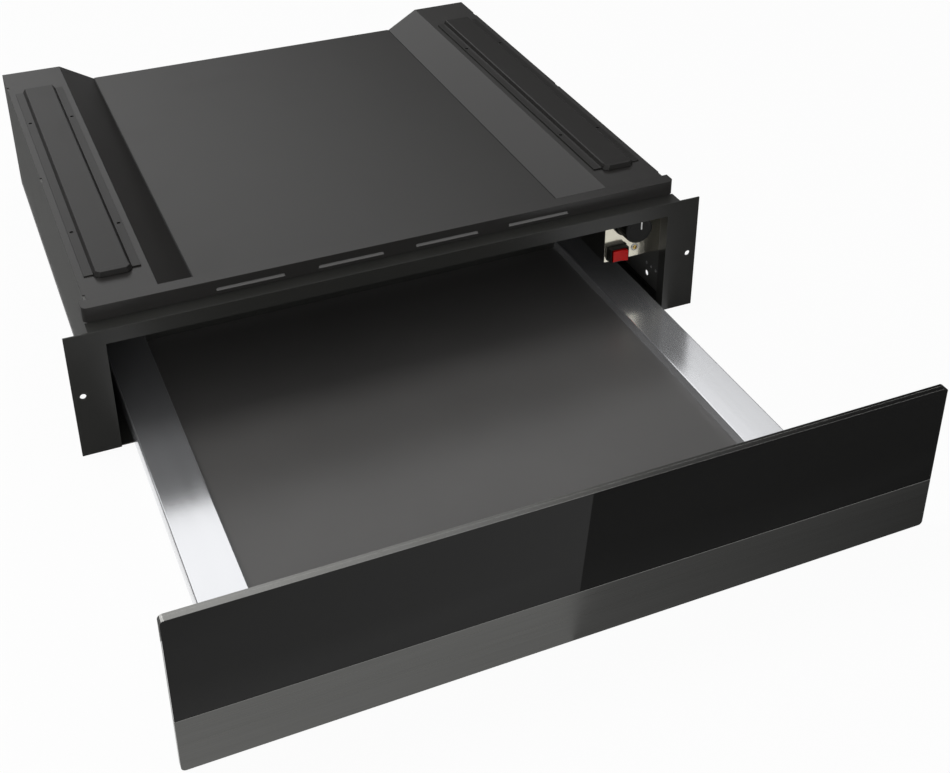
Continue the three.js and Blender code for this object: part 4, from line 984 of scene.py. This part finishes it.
def buildKnob(look):
    face, back, depth, profile = look["face"], look["back"], look["gripDepth"], look["gripProfile"]
    skirtFront = back - look["skirtDepth"]
    starts = (
        (face, look["body"], look["faceRings"]),
        (skirtFront, look["body"], look["waistRings"]),
        (skirtFront, look["skirt"], look["skirtRings"]),
    )
    rings = [(y + step, radius + wider, depth * share) for y, radius, some in starts for step, wider, share in some]
    rings.append((back, look["skirt"], 0.0))
    shape = turnedShape(look["x"], look["z"], rings, len(profile) * look["grips"], profile)
    piece = settledPiece("knobCap", shape, "black_plastic", 0, sharp=40.0)
    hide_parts("thermostat_knob")
    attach(piece, "knob")
    half = look["lineWidth"] / 2
    near = (look["lineX"] - half, face - look["lineProud"], look["lineLow"])
    far = (look["lineX"] + half, face + look["lineSunk"], look["lineHigh"])
    piece = settledPiece("knobLine", boxShape(near, far), "whiteInk", look["lineEdge"])
    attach(piece, "knob")


buildKnob(knobLook)

# switch

switchLook = {
    "x": 225.8, "plate": -237.5, "halfWidth": 10.4, "low": 55.5, "high": 71.6, "stand": 7.6, "collar": 1.8,
    "collarClear": 0.02, "collarLap": 0.4, "inset": 0.5, "corner": 1.2, "cornerSteps": 5, "wall": 1.6,
    "pocket": 5.6, "pocketOver": 2.0, "rearHalf": 8.4, "rearInset": 2.0, "rearDepth": 20.8,
    "collarEdge": 0.35, "housingEdge": 0.3, "rearEdge": 0.4,
}
rockerLook = {
    "x": 225.8, "y": -243.9, "halfWidth": 8.2, "low": 57.8, "high": 69.6, "stand": 3.2, "tilt": 7.0,
    "dish": 0.9, "wing": 3.6, "steps": 6, "faceShare": 0.95, "dishShare": 0.6, "rearShare": 0.8, "edge": 0.55,
}


def buildSwitch(look):
    x, plate, half, low, high = (look[key] for key in ("x", "plate", "halfWidth", "low", "high"))
    wall, front = look["wall"], plate - look["stand"]

    def roundedBox(less, near, far):
        corner = (look["corner"], look["cornerSteps"])
        left, right = x - half + less, x + half - less
        outline = lowCorners(left, right, low + less, *corner) + highCorners(left, right, high - less, *corner)
        return slabShape(outline, near, far)

    soft = {"angle": 40.0, "segments": 3}
    collar = roundedBox(0.0, plate - look["collar"], plate - look["collarClear"])
    collar = settledPiece("switchCollar", collar, "black_plastic", look["collarEdge"], **soft)
    near = (x - half + wall, front - look["pocketOver"], low + wall)
    far = (x + half - wall, front + look["pocket"], high - wall)
    soft["cutters"] = [newPiece("pocketTool", *boxShape(near, far), "black_plastic")]
    housing = roundedBox(look["inset"], front, plate - look["collar"] + look["collarLap"])
    housing = settledPiece("switchHousing", housing, "black_plastic", look["housingEdge"], **soft)
    near = (x - look["rearHalf"], plate, low + look["rearInset"])
    far = (x + look["rearHalf"], plate + look["rearDepth"], high - look["rearInset"])
    rear = settledPiece("switchRear", boxShape(near, far), "black_plastic", look["rearEdge"])
    joinPieces(housing, collar, rear)
    housing.name = "switchShell"
    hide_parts("switch_body")
    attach(housing, "cabinet")


def buildRocker(look):
    # dished face that tips about an upright pin, drawn from above and raised along z
    half, stand, tilt, steps = look["halfWidth"], look["stand"], math.radians(look["tilt"]), look["steps"]
    drop = half * math.tan(tilt)
    outline = []
    for k in range(2 * steps + 1):
        u = -1 + k / steps
        dish = look["dish"] * look["dishShare"] * (1 - u * u)
        outline.append((u * half * look["faceShare"], -stand - drop * abs(u) + dish))
    rear = half * look["rearShare"]
    outline += [(rear, drop), (0.0, look["wing"]), (-rear, drop)]
    cosine, sine = math.cos(-tilt), math.sin(-tilt)
    turned = [(look["x"] + u * cosine - v * sine, look["y"] + u * sine + v * cosine) for u, v in outline]
    key = slabShape(turned, look["low"], look["high"], "z")
    piece = settledPiece("rockerKey", key, "red_plastic", look["edge"], angle=35.0, segments=3, sharp=30.0)
    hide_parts("switch_rocker")
    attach(piece, "rocker")


buildSwitch(switchLook)
buildRocker(rockerLook)
print("controls made")

# repeated pieces, made by geometry nodes


def growPiece(piece, tree, sockets, values):
    # named inputs are set before the first evaluation
    maker = piece.modifiers.new("maker", "NODES")
    maker.node_group = tree
    for label, value in values.items():
        maker[sockets[label]] = value
    keepResult(piece)


def endInstances(tree, instances, finish):
    solid = addNode(tree, "GeometryNodeRealizeInstances", {"Geometry": instances})
    painted = addNode(tree, "GeometryNodeSetMaterial", {"Geometry": solid.outputs[0], "Material": finish})
    addNode(tree, "NodeGroupOutput", {"Geometry": painted.outputs[0]})


slotLook = {
    "count": 4, "pitch": 91.0, "length": 61.5, "height": 3.7, "thickness": 0.5, "tilt": 38.0, "y": -246.5, "z": 125.7,
}


def buildSlotVanesPaintedHighlight(look):
    # one tilted vane behind each air slot of the header, in the lighter tray coat: a painted highlight for the light
    # seen in the slots
    sizes = {key.capitalize(): look[key] * mm for key in ("pitch", "length", "height", "thickness")}
    sizes["Tilt"] = -math.radians(look["tilt"])
    inputs = [("Count", "Int", look["count"]), *((key, "Float", size) for key, size in sizes.items())]
    tree, sockets, given = shapeGroup("slotVanesPaintedHighlight", [*inputs, ("Finish", "Material", None)])
    spans = maths(tree, "SUBTRACT", given["Count"], 1.0)
    start = maths(tree, "MULTIPLY", maths(tree, "MULTIPLY", spans, given["Pitch"]), -0.5)
    first = vectorOf(tree, start, look["y"] * mm, look["z"] * mm)
    line = {"Count": given["Count"], "Start Location": first, "Offset": vectorOf(tree, given["Pitch"])}
    row = addNode(tree, "GeometryNodeMeshLine", line, mode="OFFSET")
    size = vectorOf(tree, given["Length"], given["Thickness"], given["Height"])
    vane = addNode(tree, "GeometryNodeMeshCube", {"Size": size}).outputs["Mesh"]
    laid = {"Points": row.outputs[0], "Instance": vane, "Rotation": vectorOf(tree, given["Tilt"])}
    vanes = addNode(tree, "GeometryNodeInstanceOnPoints", laid)
    endInstances(tree, vanes.outputs[0], given["Finish"])
    piece = placed("slotVanesPaintedHighlight", bpy.data.meshes.new("slotVanesPaintedHighlight"))
    # the lighter tray coat on the vanes is a painted highlight
    growPiece(piece, tree, sockets, {"Count": look["count"], **sizes, "Finish": finishes["tray_coat"]})
    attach(piece, "cabinet")


buildSlotVanesPaintedHighlight(slotLook)

# joints beside the centre panel: painted shade, a near-black strip on the shoulder's lip and a black strip over it, in
# place of the shadow in the gap

seamShadeLowLook = {"inner": 176.8, "outer": 178.3, "low": 113.3, "high": 113.7, "front": -233.8, "back": 263.4, "edge": 0.1}
seamShadeHighLook = {"inner": 176.75, "outer": 177.85, "low": 113.6, "high": 114.1, "front": -235.1, "back": 262.5, "edge": 0.0}


def buildSeamShade(name, look, finish):
    shadeStrips = []
    for side in (-1, 1):
        low, high = sorted((side * look["inner"], side * look["outer"]))
        shadeStrips.append(boxShape((low, look["front"], look["low"]), (high, look["back"], look["high"])))
    piece = settledPiece(name, togetherShape(*shadeStrips), finish, look["edge"])
    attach(piece, "cabinet")


buildSeamShade("panelSeamShadeLow", seamShadeLowLook, "jointSeal")

# screws, washers and rims

spotLook = {
    "backX": (-262, -90, 90, 262), "backY": 263.5, "backZ": (9, 104), "plateX": 245.9, "plateZ": 64.0,
    "ventX": 273.4, "ventZ": 28.0, "ventFirst": -244.2, "ventPitch": 9.1, "ventCount": 4, "sharp": 32.0,
    "screwY": -238.0, "washerY": -237.5, "rimY": -237.8, "backScrew": (3.2, 1.2, 0.7, 0.8, 3.4),
    "plateScrew": (2.2, 0.9, 0.6, 0.6, 2.6), "washer": (3.7, 0.5, 0.05, 0.1, 0.2), "ventRim": (1.15, 0.3),
    "plateRim": (3.5, 0.35), "headSides": 20, "headRings": 3, "driveDepth": 1.2, "loopSides": 24, "wireSides": 10,
}


def spotGroup(name, *sizes):
    inputs = [(label, "Float", mm) for label in sizes]
    return shapeGroup(name, [("Geometry", "Geometry", None), *inputs, ("Finish", "Material", None)])


def onEverySpot(tree, given, item):
    # one item on every point, turned the way the point faces
    facing = addNode(tree, "GeometryNodeInputNamedAttribute", {"Name": "facing"}, data_type="FLOAT_VECTOR")
    turned = addNode(tree, "FunctionNodeAlignRotationToVector", {"Vector": facing.outputs["Attribute"]}, axis="Z")
    laid = {"Points": given["Geometry"], "Instance": item, "Rotation": turned.outputs[0]}
    endInstances(tree, addNode(tree, "GeometryNodeInstanceOnPoints", laid).outputs[0], given["Finish"])


def buildScrewTree(look):
    # a crowned head with a cross cut into it
    labels = ("Head Radius", "Head Height", "Crown Height", "Drive Width", "Drive Length")
    tree, sockets, given = spotGroup("fastenerRow", *labels)
    radius, height = given["Head Radius"], given["Head Height"]
    drum = {"Vertices": look["headSides"], "Fill Segments": look["headRings"], "Radius": radius, "Depth": height}
    head = addNode(tree, "GeometryNodeMeshCylinder", drum)
    place = addNode(tree, "ShaderNodeSeparateXYZ", {0: addNode(tree, "GeometryNodeInputPosition").outputs[0]}).outputs
    flat = vectorOf(tree, place[0], place[1])
    reach = addNode(tree, "ShaderNodeVectorMath", {0: flat}, operation="LENGTH").outputs["Value"]
    squared = maths(tree, "POWER", maths(tree, "DIVIDE", reach, radius), 2.0)
    rise = maths(tree, "MULTIPLY", maths(tree, "SUBTRACT", 1.0, squared), given["Crown Height"])
    lift = vectorOf(tree, z=maths(tree, "MULTIPLY", rise, maths(tree, "GREATER_THAN", place[2], 0.0)))
    domed = addNode(tree, "GeometryNodeSetPosition", {"Geometry": head.outputs["Mesh"], "Offset": lift})
    driven = addNode(tree, "GeometryNodeMeshBoolean", {"Mesh 1": domed.outputs["Geometry"]}, operation="DIFFERENCE")
    deep = maths(tree, "MULTIPLY", height, look["driveDepth"])
    for across, along in (("Drive Length", "Drive Width"), ("Drive Width", "Drive Length")):
        size = vectorOf(tree, given[across], given[along], deep)
        bar = addNode(tree, "GeometryNodeMeshCube", {"Size": size}).outputs["Mesh"]
        high = addNode(tree, "GeometryNodeTransform", {"Geometry": bar, "Translation": vectorOf(tree, z=height)})
        tree.links.new(high.outputs[0], driven.inputs["Mesh 2"])
    seat = vectorOf(tree, z=maths(tree, "MULTIPLY", height, 0.5))
    seated = addNode(tree, "GeometryNodeTransform", {"Geometry": driven.outputs["Mesh"], "Translation": seat})
    onEverySpot(tree, given, seated.outputs["Geometry"])
    return tree, sockets


def buildRimTree(look):
    # a ring of round wire, pressed around a hole
    tree, sockets, given = spotGroup("rimRow", "Rim Radius", "Wire Radius")
    curves = {}
    for socket, sides, size in (("Curve", "loopSides", "Rim Radius"), ("Profile Curve", "wireSides", "Wire Radius")):
        ring = {"Resolution": look[sides], "Radius": given[size]}
        curves[socket] = addNode(tree, "GeometryNodeCurvePrimitiveCircle", ring).outputs["Curve"]
    onEverySpot(tree, given, addNode(tree, "GeometryNodeCurveToMesh", curves).outputs["Mesh"])
    return tree, sockets


def spotRow(name, finish, spots, maker, sizes, sharp=None):
    # each spot is a place in millimetres and the way its item faces
    mesh = pointMesh(name, [tuple(value * mm for value in spot) for spot, way in spots], [])
    ways = mesh.attributes.new("facing", "FLOAT_VECTOR", "POINT")
    for item, (spot, way) in zip(ways.data, spots):
        item.vector = way
    piece = placed(name, mesh)
    tree, sockets = maker
    values = {label: size * mm for label, size in zip(list(sockets)[1:-1], sizes)}
    growPiece(piece, tree, sockets, {**values, "Finish": finishes[finish]})
    piece.data.shade_smooth()
    if sharp:
        piece.data.set_sharp_from_angle(angle=math.radians(sharp))
    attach(piece, "cabinet")


def buildFasteners(look):
    screw, rim, sharp = buildScrewTree(look), buildRimTree(look), look["sharp"]
    backSpots = [((x, look["backY"], z), (0, 1, 0)) for x in look["backX"] for z in look["backZ"]]
    ventRow = [look["ventFirst"] + look["ventPitch"] * i for i in range(look["ventCount"])]
    ventSpots = [((side * look["ventX"], y, look["ventZ"]), (-side, 0, 0)) for side in (-1, 1) for y in ventRow]
    screwSpot, washerSpot, rimSpot = (
        [((look["plateX"], look[key], look["plateZ"]), (0, -1, 0))] for key in ("screwY", "washerY", "rimY"))
    spotRow("backScrews", "blackZincAndPaintedShade", backSpots, screw, look["backScrew"], sharp)
    spotRow("plateScrew", "brassPlate", screwSpot, screw, look["plateScrew"], sharp)
    spotRow("plateWasher", "whiteInk", washerSpot, screw, look["washer"], sharp)
    spotRow("ventRims", "brightRim", ventSpots, rim, look["ventRim"])
    spotRow("plateScrewRim", "zinc", rimSpot, rim, look["plateRim"])


buildFasteners(spotLook)
print("fasteners placed")

# painted shade: a black strip over the first one, in place of the shadow in the panel gaps
buildSeamShade("panelSeamShadeHigh", seamShadeHighLook, "black_plastic")
print("seams filled")

print("scene ready")
